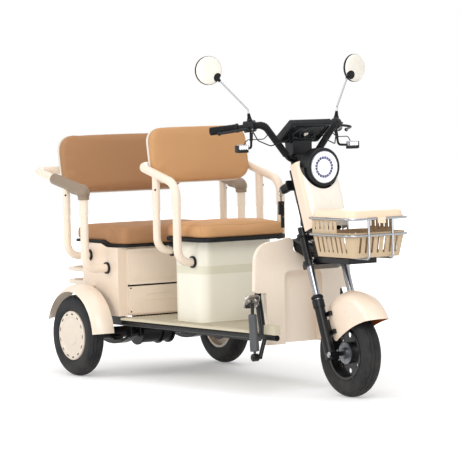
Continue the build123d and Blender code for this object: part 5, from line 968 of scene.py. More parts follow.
def blow_up(pad, start, cap, held):
    """The points pushed out by cloth under pressure, by no more than the cap."""
    rest_share = held(start)
    group = pad.vertex_groups.new(name="held")
    for place in np.nonzero(rest_share > HELD_LEAST)[0]:
        group.add([int(place)], float(rest_share[place]), "REPLACE")
    cloth = pad.modifiers.new("stuffing", "CLOTH")
    settings = cloth.settings
    settings.vertex_group_mass = "held"
    settings.use_pressure = True
    settings.uniform_pressure_force = PRESSURE
    settings.effector_weights.gravity = 0.0
    settings.quality = 4
    settings.tension_stiffness = CLOTH_STIFFNESS
    settings.compression_stiffness = CLOTH_STIFFNESS
    settings.shear_stiffness = SHEAR_STIFFNESS
    settings.bending_stiffness = BEND_STIFFNESS
    cloth.point_cache.frame_start = 1
    cloth.point_cache.frame_end = CLOTH_FRAMES
    for step in range(1, CLOTH_FRAMES + 1):
        scene.frame_set(step)
    graph = bpy.context.evaluated_depsgraph_get()
    move = world_points(pad.evaluated_get(graph).data) - start
    reach = np.linalg.norm(move, axis=1)
    limit = cap * np.tanh(reach / cap)
    move *= (limit / np.maximum(reach, 1e-9))[:, None]
    pad.modifiers.clear()
    pad.vertex_groups.clear()
    scene.frame_set(1)
    return start + move


def puff(node, name, body, finish, shrink, cap, held, drop=0.0):
    """The CAD cushion, drawn in a little and blown up as stuffed cloth round its held side."""
    pad = bpy.data.objects.new(name, frame["nodes"][node].data.copy())
    scene.collection.objects.link(pad)
    low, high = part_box(node)
    centre = middle(node)
    half = [(high[i] - low[i]) / 2 for i in range(3)]
    points = world_points(pad.data)
    for axis in range(3):
        points[:, axis] = centre[axis] + (points[:, axis] - centre[axis]) * (
            1 - shrink[axis] / half[axis])
    pad.data.vertices.foreach_set("co", points.ravel())
    pad.data.update()
    skin = pad.modifiers.new("skin", "REMESH")
    skin.mode = "VOXEL"
    skin.voxel_size = VOXEL
    mesh = take_shape(pad)
    start = world_points(mesh)
    if drop:
        start = crowned(start, low, high, drop)
        mesh.vertices.foreach_set("co", start.ravel())
        mesh.update()
    mesh.vertices.foreach_set("co", blow_up(pad, start, cap, held).ravel())
    mesh.update()
    settle = pad.modifiers.new("settle", "SMOOTH")
    settle.factor = 0.5
    settle.iterations = SETTLE_STEPS
    finer = pad.modifiers.new("finer", "SUBSURF")
    finer.levels = finer.render_levels = 1
    mesh = take_shape(pad)
    mesh.shade_smooth()
    mesh.materials.clear()
    material, slot_name = FINISHES[finish]
    mesh.materials.append(material)
    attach(pad, body)
    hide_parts(node)
    return pad


SEAM_DEPTH = 0.0018
SEAM_HALF_WIDTH = 0.0065


def sink_seams(pad, seams):
    """Draws the cushion's surface in along each seam."""
    points = world_points(pad.data)
    normals = np.empty(len(points) * 3)
    pad.data.vertices.foreach_get("normal", normals)
    normals = normals.reshape(-1, 3)
    sink = np.zeros(len(points))
    for seam in seams:
        knots = np.array([tuple(p) for p in seam])
        low = knots.min(axis=0) - SEAM_HALF_WIDTH * 2
        high = knots.max(axis=0) + SEAM_HALF_WIDTH * 2
        near = np.nonzero(((points > low) & (points < high)).all(axis=1))[0]
        for first, second in zip(knots[:-1], knots[1:]):
            run = second - first
            length = max(np.dot(run, run), 1e-12)
            share = np.clip((points[near] - first) @ run / length, 0, 1)
            gap = np.linalg.norm(points[near] - (first + share[:, None] * run), axis=1)
            amount = np.clip(1 - gap / SEAM_HALF_WIDTH, 0, 1) ** 1.5
            sink[near] = np.maximum(sink[near], amount)
    sunk = points - normals * (sink * SEAM_DEPTH)[:, None]
    pad.data.vertices.foreach_set("co", sunk.ravel())
    pad.data.update()


THREAD_STEP = 0.01
THREAD_RADIUS = 0.0008
SEAT_RIM_CORNER = 0.05
SEAT_RISE = 0.008
SEAT_HELD = 0.014


def lay_on(pad, route, step=0.006):
    """The route's points moved to the nearest place on the cushion."""
    tree = BVHTree.FromObject(pad, bpy.context.evaluated_depsgraph_get())
    path = []
    for first, second in zip(route[:-1], route[1:]):
        first, second = Vector(first), Vector(second)
        count = max(1, int((second - first).length / step))
        for place in range(count):
            path.append(tree.find_nearest(first.lerp(second, place / count))[0])
    path.append(tree.find_nearest(Vector(route[-1]))[0])
    return path


def sew(pad, name, seams, body):
    """Sinks the cushion along each seam, and lays thread in it."""
    sink_seams(pad, seams)
    for count, seam in enumerate(seams):
        sweep(f"{name}_{count}", lay_on(pad, seam, THREAD_STEP), THREAD_RADIUS, "seam_thread",
              body, sides=6)


def seat_rim_route(node, inset, height):
    """A route round a seat's top, a little inside its outline."""
    low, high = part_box(node)
    centre = middle(node)
    outline = rounded_outline((high[0] - low[0]) / 2 - inset, (high[1] - low[1]) / 2 - inset,
                              SEAT_RIM_CORNER)
    route = [Vector((centre.x + u, centre.y + v, height)) for u, v in outline]
    return route + [route[0]]


def puff_seat(end, shrink, drop=0.0):
    """A seat cushion, held where it lies on its base."""
    node = end + "_seat_cushion"
    low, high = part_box(node)
    seat = puff(node, end + "_seat_pad", end + "_seat_lid", end + "_hide",
                (shrink, shrink, 0.0), SEAT_RISE,
                lambda p: np.clip(1 - (p[:, 2] - low[2]) / SEAT_HELD, 0, 1), drop)
    return low, high, seat


def build_front_seat():
    """The driver's seat: a seam round its top, and one down each front corner."""
    low, high, seat = puff_seat("front", 0.002, 0.10)
    seams = [lay_on(seat, seat_rim_route("front_seat_cushion", 0.016, high[2] + 0.01))]
    for sign in (-1, 1):
        top = Vector((high[0] - 0.050, sign * (high[1] - 0.016), high[2]))
        foot = Vector((high[0] - 0.018, sign * high[1], low[2] + 0.010))
        waist = Vector((high[0] - 0.026, sign * (high[1] + 0.002), (low[2] + high[2]) / 2))
        seams.append(lay_on(seat, [top, waist, foot]))
    sew(seat, "front_seat_seam", seams, "front_seat_lid")


def build_rear_seat():
    """The bench: a seam over each front corner."""
    low, high, seat = puff_seat("rear", 0.003)
    top = high[2]
    seams = []
    for sign in (-1, 1):
        start = Vector((high[0] - 0.150, sign * (high[1] - 0.012), top))
        bend = Vector((high[0] - 0.090, sign * (high[1] + 0.002), top - 0.022))
        foot = Vector((high[0] - 0.062, sign * (high[1] + 0.002), low[2] + 0.012))
        seams.append(lay_on(seat, [start, bend, foot]))
    sew(seat, "rear_seat_seam", seams, "rear_seat_lid")


BACK_LEAN = math.radians(10.0)
BACK_RISE = 0.007


def build_backrest(node, name, finish):
    """A back cushion, held against its shell and blown up in front."""
    lean = Vector((math.cos(BACK_LEAN), 0, math.sin(BACK_LEAN)))
    rear_face = min(lean.dot(Vector(v.co)) for v in frame["nodes"][node].data.vertices)

    def held(points):
        depth = points @ np.array(lean) - rear_face
        return np.clip(1 - (depth - 0.004) / 0.012, 0, 1)

    pad = puff(node, name, "chassis", finish, (0.0015, 0.001, 0.001), BACK_RISE, held)


build_front_seat()
build_rear_seat()
build_backrest("front_backrest_cushion", "front_back_pad", "front_hide")
build_backrest("rear_backrest_cushion", "rear_back_pad", "rear_hide")

# ---------------------------------------------------------------- headlight
LAMP_DASHES = 20


def build_headlight():
    """A white ring round a bowl with a ring of small dark reflectors, under a clear cover."""
    low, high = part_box("headlight_lens")
    centre = middle("headlight_lens")
    back = low[0]
    radius = (high[1] - low[1]) / 2
    hub = Vector((back, centre.y, centre.z))
    edge = [(0.0, radius), (0.0042, radius), (0.0052, radius - 0.0018), (0.0044, radius - 0.0042),
            (0.0, radius - 0.0042)]
    ring_piece("headlight_edge", edge, hub, AHEAD, "lamp_grey", "steering")
    ring = [(0.0, radius - 0.0040), (0.0038, radius - 0.0040), (0.0052, radius - 0.0075),
            (0.0050, radius - 0.0150), (0.0030, radius - 0.0195), (0.0006, radius - 0.0215),
            (0.0, radius - 0.0215)]
    halo = ring_piece("headlight_halo", ring, hub, AHEAD, "lamp_white", "steering")
    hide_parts("headlight_lens")
    bowl = [(0.0003, 0.0), (0.0003, radius - 0.0216), (0.0, radius - 0.0216), (0.0, 0.0)]
    lathe("headlight_bowl", bowl, hub, AHEAD, "lamp_violet", "steering")
    heart = [(0.0006, 0.0330), (0.0022, 0.0320), (0.0030, 0.0270), (0.0036, 0.010), (0.0037, 0.0)]
    lathe("headlight_heart", heart, hub, AHEAD, "lamp_white", "steering")
    for count in range(LAMP_DASHES):
        angle = 2 * math.pi * (count + 0.5) / LAMP_DASHES
        out = Vector((0, math.cos(angle), math.sin(angle)))
        along = Vector((0, -math.sin(angle), math.cos(angle)))
        base = base_matrix(hub + out * 0.0404 + AHEAD * 0.0004, along, AHEAD)
        outline = rounded_outline(0.0046, 0.0052, 0.0016, 4)
        slab(f"headlight_cell_{count}", outline, base, 0.0018, "lamp_cell", "steering",
             edge=0.0003)
    dome = [(0.0056, radius - 0.0052), (0.0066, radius - 0.016), (0.0072, 0.020), (0.0073, 0.0)]
    lathe("headlight_cover", dome, hub - AHEAD * 0.0014, AHEAD, "clear_cover", "steering")


build_headlight()


# ---------------------------------------------------------------- steering group
MIRROR_ACROSS = 0.388
STEER_JOINT = next(j for j in frame["joints"] if j["name"] == "steering_turn")
STEER_UP = Vector(STEER_JOINT["axis"]).normalized()
STEER_HEAD = Vector(STEER_JOINT["pos_m"])
STEER_AHEAD = Vector((STEER_UP.z, 0.0, -STEER_UP.x))
BAR_END = Vector((0.3309, -0.340, 1.1331))
BAR_SHOULDER = Vector((0.5159, -0.190, 1.1591))
BAR_LOW = Vector((0.5199, -0.060, 1.0031))
GRIP_AXIS = (BAR_SHOULDER - BAR_END).normalized()
POD_MIDDLE = BAR_END + GRIP_AXIS * 0.176


def steer_point(ahead, left, up):
    """A point given along the steering axes."""
    return STEER_HEAD + STEER_AHEAD * ahead + LEFT * left + STEER_UP * up


def flip(point, sign):
    """The same point on the other side when the sign is -1."""
    return Vector((point[0], point[1] * sign, point[2]))


def build_mirrors():
    """Cream bowls with a deep black rim and a black foot, on bent stems with threaded boots."""
    low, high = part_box("mirror_glasses")
    glass_centre = Vector(((low[0] + high[0]) / 2 + 0.0082, 0, (low[2] + high[2]) / 2))
    lean = math.radians(8.0)
    bowl = [(-0.0010, 0.0604), (0.0016, 0.0603), (0.0052, 0.0588), (0.0088, 0.0548),
            (0.0120, 0.0470), (0.0142, 0.0360), (0.0154, 0.0220), (0.0158, 0.0100), (0.0158, 0.0)]
    rim = [(-0.0104, 0.0566), (-0.0104, 0.0606), (-0.0090, 0.0618), (-0.0004, 0.0618),
           (0.0012, 0.0611), (0.0012, 0.0590), (-0.0060, 0.0566)]
    for side, sign in SIDES:
        normal = Vector((math.cos(lean), -math.sin(lean) * sign, 0))
        centre = Vector((glass_centre.x, -MIRROR_ACROSS * sign, glass_centre.z))
        shell = lathe(f"mirror_bowl_{side}", bowl, centre, normal, "mirror_shell", "steering",
                      segments=96)
        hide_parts("mirrors")
        ring_piece(f"mirror_rim_{side}", rim, centre, normal, "soft_black", "steering",
                   segments=96)
        foot = flip(POD_MIDDLE + UP * 0.026, sign)
        knee = flip(POD_MIDDLE + Vector((-0.002, -0.006, 0.072)), sign)
        top = centre + Vector((0.004, 0.0434 * sign, -0.0372))
        across = UP.cross(normal)
        entry = Vector(((top - centre).dot(across), (top - centre).z))
        build_mirror_wedge(side, bowl, centre, normal, across, entry)
        sweep(f"mirror_stem_{side}", [foot, knee, top], 0.0038, "chrome_plate", "steering",
              bend=0.020)
        way = (top - knee).normalized()
        sweep(f"mirror_foot_{side}", [top - way * 0.014, top - way * 0.004, top + way * 0.008],
              lambda d: 0.0056 + 0.24 * d, "soft_black", "steering", sides=16, pitch=0.002)
        lift = (knee - foot).normalized()
        sweep(f"mirror_boot_{side}", [foot - lift * 0.001, foot + lift * 0.030],
              lambda d: 0.0105 - 0.15 * d + 0.0007 * math.sin(d * 2 * math.pi / 0.0035),
              "soft_black", "steering", sides=18, pitch=0.0007)
        hex_nut(f"mirror_nut_{side}", foot - lift * 0.0005, lift, 0.022, 0.008,
                "black_plastic", "steering")


def bowl_height(bowl, reach):
    """How far the bowl stands out at that distance from its middle."""
    for (outer_height, outer), (inner_height, inner) in zip(bowl[:-1], bowl[1:]):
        if inner <= reach <= outer:
            share = (outer - reach) / max(outer - inner, 1e-6)
            return outer_height + (inner_height - outer_height) * share
    return bowl[0][0]


def build_mirror_wedge(side, bowl, centre, normal, across, entry):
    """The black foot that spreads over the bowl's lower inner edge."""
    rings, steps = 9, 32
    spread, reach_most = 0.0200, 0.0602
    top_verts, low_verts = [], []
    outward = entry.normalized()
    for ring in range(rings + 1):
        for step in range(steps):
            angle = 2 * math.pi * step / steps
            reach = spread * ring / rings
            spot = outward * 0.0480 + Vector((math.cos(angle), math.sin(angle))) * reach
            if spot.length > reach_most:
                spot = spot.normalized() * reach_most
            rise = bowl_height(bowl, spot.length) + 0.0012
            flat = centre + across * spot.x + UP * spot.y
            top_verts.append(flat + normal * rise)
            low_verts.append(flat + normal * (rise - 0.0030))
    verts = top_verts + list(reversed(low_verts))
    faces = bridge_rings(2 * (rings + 1), steps)
    add_piece(f"mirror_wedge_{side}", verts, faces, "soft_black", "steering", sharp=50.0)


SIGNAL_BEADS = 4
SIGNAL_BEAD_PITCH = 0.0112


def build_signals():
    """Clear lamp blocks in black holders on bent stalks."""
    for side, sign in SIDES:
        centre = flip(Vector((POD_MIDDLE.x + 0.030, -0.292, POD_MIDDLE.z - 0.094)), sign)
        top = flip(POD_MIDDLE + Vector((0.002, 0.006, -0.026)), sign)
        knee = flip(Vector((POD_MIDDLE.x + 0.010, POD_MIDDLE.y - 0.002, POD_MIDDLE.z - 0.092)),
                    sign)
        stalk = sweep(f"signal_stalk_{side}", [top, knee, centre + LEFT * 0.016 * sign],
                      0.0052, "soft_black", "steering", bend=0.014)
        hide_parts("turn_signals")
        sweep(f"signal_sleeve_{side}", [top, top + (knee - top) * 0.55],
              lambda d: 0.0078 - 0.02 * d, "soft_black", "steering", sides=16, pitch=0.004)
        blocks = (
            ("holder", (0, 0, -0.0170), LEFT, (0.056, 0.030, 0.0120), 0.009,
             "black_plastic", 0.003),
            ("cap", (0, -0.0272 * sign, -0.0150), AHEAD, (0.026, 0.006, 0.030), 0.0028,
             "black_plastic", 0.0015),
            ("lens", (0, 0.0015 * sign, -0.0052), LEFT, (0.050, 0.0280, 0.0222), 0.008,
             "lamp_grey", 0.0045),
        )
        for part, offset, way, size, corner, finish, edge in blocks:
            base = base_matrix(centre + Vector(offset), way, UP)
            rounded_block(f"signal_{part}_{side}", size, corner, base, finish, "steering",
                          edge=edge)
        for count in range(SIGNAL_BEADS):
            along = (count - (SIGNAL_BEADS - 1) / 2) * SIGNAL_BEAD_PITCH
            spot = centre + Vector((0.0126, along * sign, 0.0056))
            bead = base_matrix(spot, LEFT, AHEAD)
            rounded_block(f"signal_bead_{side}_{count}", (0.0084, 0.0150, 0.0026), 0.003, bead,
                          "lamp_white", "steering", edge=0.0009)
            gap = base_matrix(spot + Vector((0.0008, 0.0056 * sign, 0)), LEFT, AHEAD)
            rounded_block(f"signal_rib_{side}_{count}", (0.0017, 0.0175, 0.0018), 0.0006, gap,
                          "soft_black", "steering", edge=0.0)


GRIP_RIBS = 24


def build_grips():
    """Ribbed rubber grips with a flange at the controls and a rounded end."""
    profile = [(-0.0040, 0.0), (-0.0040, 0.0130), (-0.0025, 0.0168), (0.0, 0.0178)]
    for count in range(GRIP_RIBS):
        start = 0.006 + count * 0.0044
        profile += [(start, 0.0178), (start + 0.0006, 0.0166), (start + 0.0016, 0.0166),
                    (start + 0.0022, 0.0178)]
    profile += [(0.1140, 0.0178), (0.1150, 0.0200), (0.1200, 0.0205), (0.1240, 0.0190),
                (0.1250, 0.0130), (0.1250, 0.0122)]
    for side, sign in SIDES:
        axis = flip(GRIP_AXIS, sign)
        grip = lathe(f"grip_{side}", profile, flip(BAR_END, sign), axis, "soft_black",
                     "steering", segments=40)
        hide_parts("grips")


SLEEVE_STEP = 0.0012
SLEEVE_SHORT = 26


def build_bar_sleeve():
    """The ribbed sleeve that keeps the wires along the bar."""
    for side, sign in SIDES:
        start = POD_MIDDLE + GRIP_AXIS * 0.0245
        route = [flip(p, sign) for p in (start, BAR_SHOULDER, BAR_LOW)]
        path = even_path(round_path(route, 0.050), SLEEVE_STEP)[:-SLEEVE_SHORT]
        sweep(f"bar_sleeve_{side}", path,
              lambda d: 0.0146 + 0.0011 * math.sin(d * 2 * math.pi / 0.0060),
              "soft_black", "steering", sides=22)


def build_controls():
    """Switches, clamp screws and lever pivots on the control pods."""
    for side, sign in SIDES:
        axis = flip(GRIP_AXIS, sign)
        out = axis.cross(UP) * sign
        up = (UP - axis * UP.dot(axis)).normalized()
        front = -out if out.x < 0 else out
        for count, (along, lift, size) in enumerate((
                (-0.010, 0.55, (0.012, 0.010, 0.004)), (0.008, 0.62, (0.009, 0.014, 0.003)),
                (-0.004, -0.1, (0.014, 0.008, 0.004)))):
            way = (up * lift - front * math.sqrt(1 - lift * lift)).normalized()
            spot = flip(POD_MIDDLE, sign) + axis * along + way * 0.0245
            base = base_matrix(spot, axis, way)
            rounded_block(f"switch_{side}_{count}", size, 0.003, base, "boot_grey", "steering",
                          edge=0.001)
        for count, along in enumerate((-0.016, 0.016)):
            way = (front * 0.8 - up * 0.6).normalized()
            button_head(f"pod_screw_{side}_{count}",
                        flip(POD_MIDDLE, sign) + axis * along + way * 0.0246, way, 0.0036,
                        "chrome_plate", "steering")
        pivot = flip(POD_MIDDLE + Vector((0.018, -0.014, 0.000)), sign)
        lathe(f"lever_pivot_{side}", [(0.0, 0.0), (0.0, 0.008), (0.006, 0.008), (0.007, 0.006),
                                      (0.007, 0.0)], pivot, UP, "black_plastic",
              "steering", segments=24)


DASH_SLOPE = math.radians(34.5)
DASH_WAY = Vector((math.cos(DASH_SLOPE), 0, math.sin(DASH_SLOPE)))
DASH_UNDER = Vector((math.sin(DASH_SLOPE), 0, -math.cos(DASH_SLOPE)))
DASH_FOOT = Vector((0.4959, 0, 1.0801))
DASH_WIRES = 3
WIRE_STEPS = 14


def build_dash():
    """The tray's rims and underside, with its screws, plug and wires."""
    tray = base_matrix(DASH_FOOT + DASH_WAY * 0.068, LEFT, DASH_UNDER)
    rim_frame("dash_rim", 0.104, 0.067, 0.010, 0.007, tray, 0.005, "black_plastic", "steering",
              edge=0.0016)
    rim_frame("dash_inner_rim", 0.088, 0.050, 0.008, 0.003, tray, 0.003, "black_plastic",
              "steering")
    box = base_matrix(DASH_FOOT + DASH_WAY * 0.030, LEFT, DASH_UNDER)
    rounded_block("dash_terminal_box", (0.120, 0.034, 0.016), 0.004, box, "black_plastic",
                  "steering")
    for count, across in enumerate((-0.094, 0.094)):
        for row, along in enumerate((0.010, 0.126)):
            spot = DASH_FOOT + DASH_WAY * along + LEFT * across + DASH_UNDER * 0.0045
            button_head(f"dash_screw_{count}_{row}", spot, DASH_UNDER, 0.0030, "cast_alloy",
                        "steering")
    plug = base_matrix(DASH_FOOT + DASH_WAY * 0.066 + DASH_UNDER * 0.0006 + LEFT * 0.004,
                       Vector((0, 1, 0.3)), DASH_UNDER)
    rounded_block("dash_plug", (0.020, 0.011, 0.009), 0.002, plug, "mirror_shell", "steering",
                  edge=0.0008)
    hub = DASH_FOOT + DASH_WAY * 0.078 + DASH_UNDER * 0.003
    for count in range(DASH_WIRES):
        centre = hub + LEFT * (-0.040 + 0.034 * count) - DASH_WAY * 0.004 * count
        loop = []
        for step in range(WIRE_STEPS + 1):
            angle = 0.4 + 4.6 * step / WIRE_STEPS + count
            wide = 0.026 + 0.004 * math.sin(3.1 * count + 2 * angle)
            loop.append(centre + Vector((0, wide * math.cos(angle), 0))
                        + DASH_WAY * 0.030 * math.sin(angle) + DASH_UNDER * 0.0006 * step)
        sweep(f"dash_wire_{count}", loop, 0.0011, "boot_grey", "steering", sides=8)


def build_cowl_trim():
    """The lamp's bezel and the cowl's screw covers."""
    centre = Vector((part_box("headlight")[1][0], 0, middle("headlight_lens").z))
    bezel = [(-0.0300, 0.0812), (-0.0120, 0.0830), (-0.0010, 0.0828), (0.0030, 0.0806),
             (0.0046, 0.0766), (0.0040, 0.0724), (0.0004, 0.0700), (-0.0300, 0.0700)]
    ring_piece("headlight_bezel", bezel, centre - AHEAD * 0.0008, AHEAD,
               "black_plastic", "steering", segments=96)
    for side, sign in SIDES:
        for count, up in enumerate((0.150, 0.210, 0.270)):
            spot = steer_point(0.072, 0.0995 * -sign, up)
            lathe(f"cowl_screw_cover_{side}_{count}",
                  [(0.0, 0.0042), (0.0006, 0.0038), (0.0006, 0.0)], spot, (0, -sign, 0),
                  "cowl_shell", "steering", segments=20)


LEG_AHEAD, LEG_ACROSS = 0.030, 0.091
AXLE_ACROSS = 0.1112


def build_fork_trim():
    """Dust seals, clamp screws, leg caps and axle nuts."""
    for side, sign in SIDES:
        leg = -LEG_ACROSS * sign
        seal = steer_point(LEG_AHEAD, leg, -0.1555)
        ring = [(0.0, 0.0160), (0.0, 0.0262), (0.004, 0.0268), (0.010, 0.0250), (0.014, 0.0200),
                (0.016, 0.0160)]
        ring_piece(f"fork_seal_{side}", ring, seal, STEER_UP, "soft_black", "steering",
                   segments=48)
        for count, up in enumerate((-0.006, 0.006, 0.126)):
            spot = steer_point(LEG_AHEAD + 0.027, leg, up)
            button_head(f"clamp_screw_{side}_{count}", spot, STEER_AHEAD, 0.0042,
                        "chrome_plate", "steering")
        top = steer_point(LEG_AHEAD, leg, 0.1600)
        lathe(f"fork_cap_{side}", [(0.0, 0.0172), (0.004, 0.0170), (0.006, 0.0120), (0.006, 0.0)],
              top, STEER_UP, "chrome_plate", "steering", segments=32)
        hub = middle("front_hub")
        spot = Vector((hub.x, -AXLE_ACROSS * sign, hub.z))
        washer = [(0.0, 0.0), (0.0, 0.0125), (0.0018, 0.0125), (0.0018, 0.0)]
        lathe(f"axle_washer_{side}", washer, spot + LEFT * 0.0002 * sign,
              (0, -sign, 0), "chrome_plate", "steering", segments=32)
        hex_nut(f"axle_nut_{side}", spot - LEFT * 0.0018 * sign, (0, -sign, 0),
                0.0195, 0.0042, "chrome_plate", "steering")


def build_key():
    """The lock's chrome face, a brass key in it, its ring and the two fobs' rounded cases."""
    start = steer_point(-0.0920, -0.050, 0.372)
    back = -STEER_AHEAD
    ring_piece("lock_face", [(-0.0060, 0.0150), (-0.0060, 0.0194), (0.0010, 0.0196),
                             (0.0026, 0.0180), (0.0026, 0.0090), (-0.0060, 0.0090)], start, back,
               "cast_alloy", "steering", segments=48)
    for count, along in enumerate((0.018, 0.034)):
        ring_piece(f"lock_step_{count}", [(0.0, 0.0180), (0.0, 0.0202), (0.004, 0.0202),
                                          (0.004, 0.0180)], start - back * along, back,
                   "black_plastic", "steering", segments=48)
    head = start + back * 0.020
    bow = base_matrix(head - back * 0.014 - LEFT * 0.0075, back, LEFT)
    slab("key_blade", rounded_outline(0.016, 0.0086, 0.0080, 8), bow, 0.015, "key_brass",
         "steering", edge=0.0012)
    ring = [head + Vector((0, 0.011 * math.cos(turn), -0.008 + 0.014 * math.sin(turn)))
            for turn in (2 * math.pi * step / 24 for step in range(24))]
    sweep("key_ring", ring, 0.0011, "chrome_plate", "steering", sides=8, cyclic=True)
    for count, (across, drop, size) in enumerate((
            (0.0, 0.072, (0.0272, 0.0112, 0.0600)), (0.006, 0.128, (0.0152, 0.0092, 0.0620)))):
        middle_spot = head + Vector((0, across, -drop - size[2] / 2))
        case = base_matrix(middle_spot + Vector((-size[1] / 2, 0, size[2] / 2)), LEFT, AHEAD)
        slab(f"key_fob_{count}", rounded_outline(size[0] / 2, size[2] / 2, size[0] * 0.45, 8),
             case, size[1], "black_plastic", "steering", edge=0.0024)
        lathe(f"key_fob_rivet_{count}", [(0.0, 0.0036), (0.0007, 0.0034), (0.0009, 0.0)],
              middle_spot + Vector((size[1] / 2, 0, size[2] * 0.80)), AHEAD, "key_brass",
              "steering", segments=20)


build_mirrors()
build_signals()
build_grips()
build_bar_sleeve()
build_controls()
build_dash()
build_cowl_trim()
build_fork_trim()
build_key()

# ---------------------------------------------------------------- floor, boxes and arms
FLOOR_TOP = 0.275
RIB_PITCH = 0.018
RIB_SECTION = ((-0.0052, 0.0), (-0.0044, 0.0016), (-0.0028, 0.0022), (0.0028, 0.0022),
               (0.0044, 0.0016), (0.0052, 0.0))


def build_floor_ribs():
    """Raised ribs along the mat, left out under the seat box."""
    seat_low, seat_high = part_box("front_seat_box")
    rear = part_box("rear_box_panels")[1][0] + 0.004
    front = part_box("legshield")[0][0] - 0.006
    wide_rear, wide_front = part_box("floor_board")[1][1] - 0.012, 0.240
    verts, faces = [], []

    def add_rib(across, start, finish):
        base, size = len(verts), len(RIB_SECTION)
        for x in (start, finish):
            verts.extend((x, across + y, FLOOR_TOP + z) for y, z in RIB_SECTION)
        for place in range(base, base + size - 1):
            faces.append((place, place + 1, place + size + 1, place + size))
        faces.append(tuple(range(base + size - 1, base - 1, -1)))
        faces.append(tuple(range(base + size, base + 2 * size)))
        faces.append((base, base + size, base + 2 * size - 1, base + size - 1))

    count = int(wide_rear / RIB_PITCH)
    for step in range(-count, count + 1):
        across = step * RIB_PITCH
        end = front
        if abs(across) > wide_front - 0.010:
            share = (abs(across) + 0.006 - wide_front) / (wide_rear - wide_front)
            end = front - max(share, 0.0) * (front - rear)
        if abs(across) < seat_high[1] + 0.004:
            add_rib(across, rear, seat_low[0] - 0.004)
            if end > seat_high[0] + 0.02:
                add_rib(across, seat_high[0] + 0.004, end)
        elif end > rear + 0.03:
            add_rib(across, rear, end)
    add_piece("floor_ribs", verts, faces, "floor_khaki", "chassis", sharp=60.0)


UPPER_PANEL_Z = 0.5065
KICK_RIM_Z = 0.3645
PANEL_GAP_Z = 0.420


def build_box_details():
    """Pressed frames on the rear box's two panels, a black strip behind the gap between them as
    painted shade, and screws.
    """
    low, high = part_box("rear_box_panels")
    face = high[0]
    frames = (
        ("door_frame", UPPER_PANEL_Z, 0.246, 0.066, 0.010, 0.0035, 0.0016, 0.0007),
        ("door_frame_inner", UPPER_PANEL_Z, 0.238, 0.058, 0.008, 0.0030, 0.0012, 0.0005),
        ("kick_panel_rim", KICK_RIM_Z, 0.180, 0.016, 0.0155, 0.0030, 0.0018, 0.0007),
    )
    for name, height, half_u, half_v, corner, width, rise, edge in frames:
        base = base_matrix((face - 0.0002, 0, height), LEFT, AHEAD)
        rim_frame(name, half_u, half_v, corner, width, base, rise, "peach_paint", "chassis",
                  edge=edge)
    # A black strip behind the panels makes the gap between them read dark: painted shade.
    gap = base_matrix((low[0] - 0.0004, 0, PANEL_GAP_Z), LEFT, AHEAD)
    slab("door_gap_shade", rounded_outline(high[1] - 0.001, 0.0038, 0.0010, 3), gap, 0.0030,
         "soft_black", "chassis", edge=0.0)
    spots = [(across, height) for height in (0.300, 0.408) for across in (-0.255, 0.255)]
    for count, (across, height) in enumerate(spots):
        button_head(f"kick_screw_{count}", (face - 0.0001, across, height), AHEAD, 0.0040,
                    "black_plastic", "chassis")


ARM_RADIUS = 0.0175


def build_arm_details():
    """Black screws in the arm posts."""
    spots = (("front", -0.214, 0.282, 0.868), ("rear", -0.747, 0.436, 0.838))
    for name, along, across, height in spots:
        for side, sign in SIDES:
            way = Vector((1, -sign, 0)).normalized()
            place = Vector((along, -sign * across, height)) + way * (ARM_RADIUS - 0.0006)
            button_head(f"{name}_post_screw_{side}", place, way, 0.0048, "soft_black", "chassis")


def build_pad_knobs():
    """The arm pads' swollen front ends."""
    low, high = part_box("rear_arm_pads")
    for side, sign in SIDES:
        along, across = high[0] - 0.026, sign * (low[1] + 0.026)
        path = [Vector((along - 0.085, across, 0.8705)), Vector((along, across, 0.860)),
                Vector((along, across, low[2] - 0.003))]
        sweep(f"arm_pad_knob_{side}", path,
              lambda d: 0.0264 + 0.0042 * math.exp(-((d - 0.083) / 0.024) ** 2)
              - 0.006 * max(0.0, (d - 0.097) / 0.010), "arm_foam", "chassis", bend=0.044,
              sides=28, pitch=0.004)


build_floor_ribs()
build_box_details()
build_arm_details()
build_pad_knobs()


PEDAL_TILT = math.radians(62.0)
BOOT_RIBS = 7


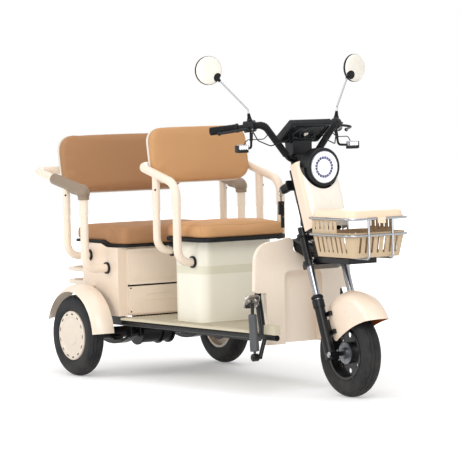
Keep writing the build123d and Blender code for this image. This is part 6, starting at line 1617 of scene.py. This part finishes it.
def build_pedal():
    """A polished rounded plate with bosses, a black rod, a ribbed boot and a black pivot."""
    low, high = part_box("brake_pedal")
    across = (low[1] + high[1]) / 2
    head = Vector((low[0] + 0.0181, across, high[2] - 0.0292))
    up = Vector((-math.sin(PEDAL_TILT), 0, math.cos(PEDAL_TILT)))
    along = Vector((math.cos(PEDAL_TILT), 0, math.sin(PEDAL_TILT)))
    plate = base_matrix(head - up * 0.0048, along, up)
    slab("pedal_plate", rounded_outline(0.0316, 0.0396, 0.0206), plate, 0.0096,
         "polished_steel", "chassis", edge=0.0026)
    under = base_matrix(head - up * 0.0047, along, -up)
    rim_frame("pedal_plate_rim", 0.0286, 0.0366, 0.0186, 0.0036, under, 0.0024,
              "polished_steel", "chassis", edge=0.001)
    for count, spot in enumerate((-0.018, 0.018)):
        centre = head - up * 0.0046 + LEFT * spot + along * 0.006
        lathe(f"pedal_boss_{count}", [(0.0, 0.0076), (0.0050, 0.0070), (0.0062, 0.0052),
                                      (0.0062, 0.0030), (0.0036, 0.0026), (0.0036, 0.0)],
              centre, -up, "polished_steel", "chassis", segments=28)
    for count in range(5):
        rib = base_matrix(head + up * 0.0046 + along * (0.011 * (count - 2)), along, up)
        rounded_block(f"pedal_tread_{count}", (0.0040, 0.056, 0.0018), 0.0018, rib,
                      "polished_steel", "chassis", edge=0.0006)
    boot_top = head + Vector((0.006, 0, -0.055))
    boot_foot = head + Vector((0.018, 0, -0.211))
    sweep("pedal_rod", [boot_top - UP * 0.010, head - up * 0.010], 0.0069,
          "black_frame_paint", "chassis", sides=18)
    way = (boot_foot - boot_top).normalized()
    length = (boot_foot - boot_top).length
    profile = [(-0.0015, 0.0), (-0.0015, 0.0120), (0.0, 0.0164), (0.004, 0.0178)]
    for count in range(BOOT_RIBS):
        start = 0.008 + 0.0052 * count
        profile += [(start, 0.0178), (start + 0.0014, 0.0186), (start + 0.0028, 0.0186),
                    (start + 0.0042, 0.0178)]
    profile += [(length * 0.5, 0.0182), (length * 0.86, 0.0205), (length, 0.0198),
                (length + 0.0015, 0.0150), (length + 0.0015, 0.0)]
    lathe("pedal_boot", profile, boot_top, way, "boot_grey", "chassis", segments=40)
    pivot = Vector((head.x + 0.020, across, low[2] + 0.016))
    lathe("pedal_pivot", [(-0.0135, 0.0), (-0.0135, 0.0150), (-0.0120, 0.0166),
                          (0.0120, 0.0166), (0.0135, 0.0150), (0.0135, 0.0)], pivot, LEFT,
          "black_frame_paint", "chassis", segments=36)


build_pedal()


CAP_SLOTS = 13
# The black sheets behind the rear caps' slots are painted shade.
SLOT_SHADE_DEPTH = 0.0041


def build_slot_shade_sheets():
    """Black sheets behind each rear wheel cap's slots: painted shade, so the slots read dark."""
    for side, sign in SIDES:
        low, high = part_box("rear_hubcap_" + side)
        inner_face = high[1] if sign > 0 else low[1]
        centre = middle("rear_hubcap_" + side)
        slot_reach = (high[2] - low[2]) / 2 - 0.013
        for count in range(CAP_SLOTS):
            turn = 2 * math.pi * count / CAP_SLOTS
            out = Vector((math.cos(turn), 0, math.sin(turn)))
            along = Vector((-math.sin(turn), 0, math.cos(turn)))
            spot = Vector((centre.x, inner_face - sign * 0.0010, centre.z)) + out * slot_reach
            base = base_matrix(spot, along, (0, -sign, 0))
            # Each sheet is painted shade, seen through its slot.
            slab(f"cap_slot_shade_{side}_{count}", rounded_outline(0.0092, 0.0046, 0.0030, 5), base,
                 SLOT_SHADE_DEPTH, "soft_black", "rear_wheel_" + side, edge=0.0)


build_slot_shade_sheets()
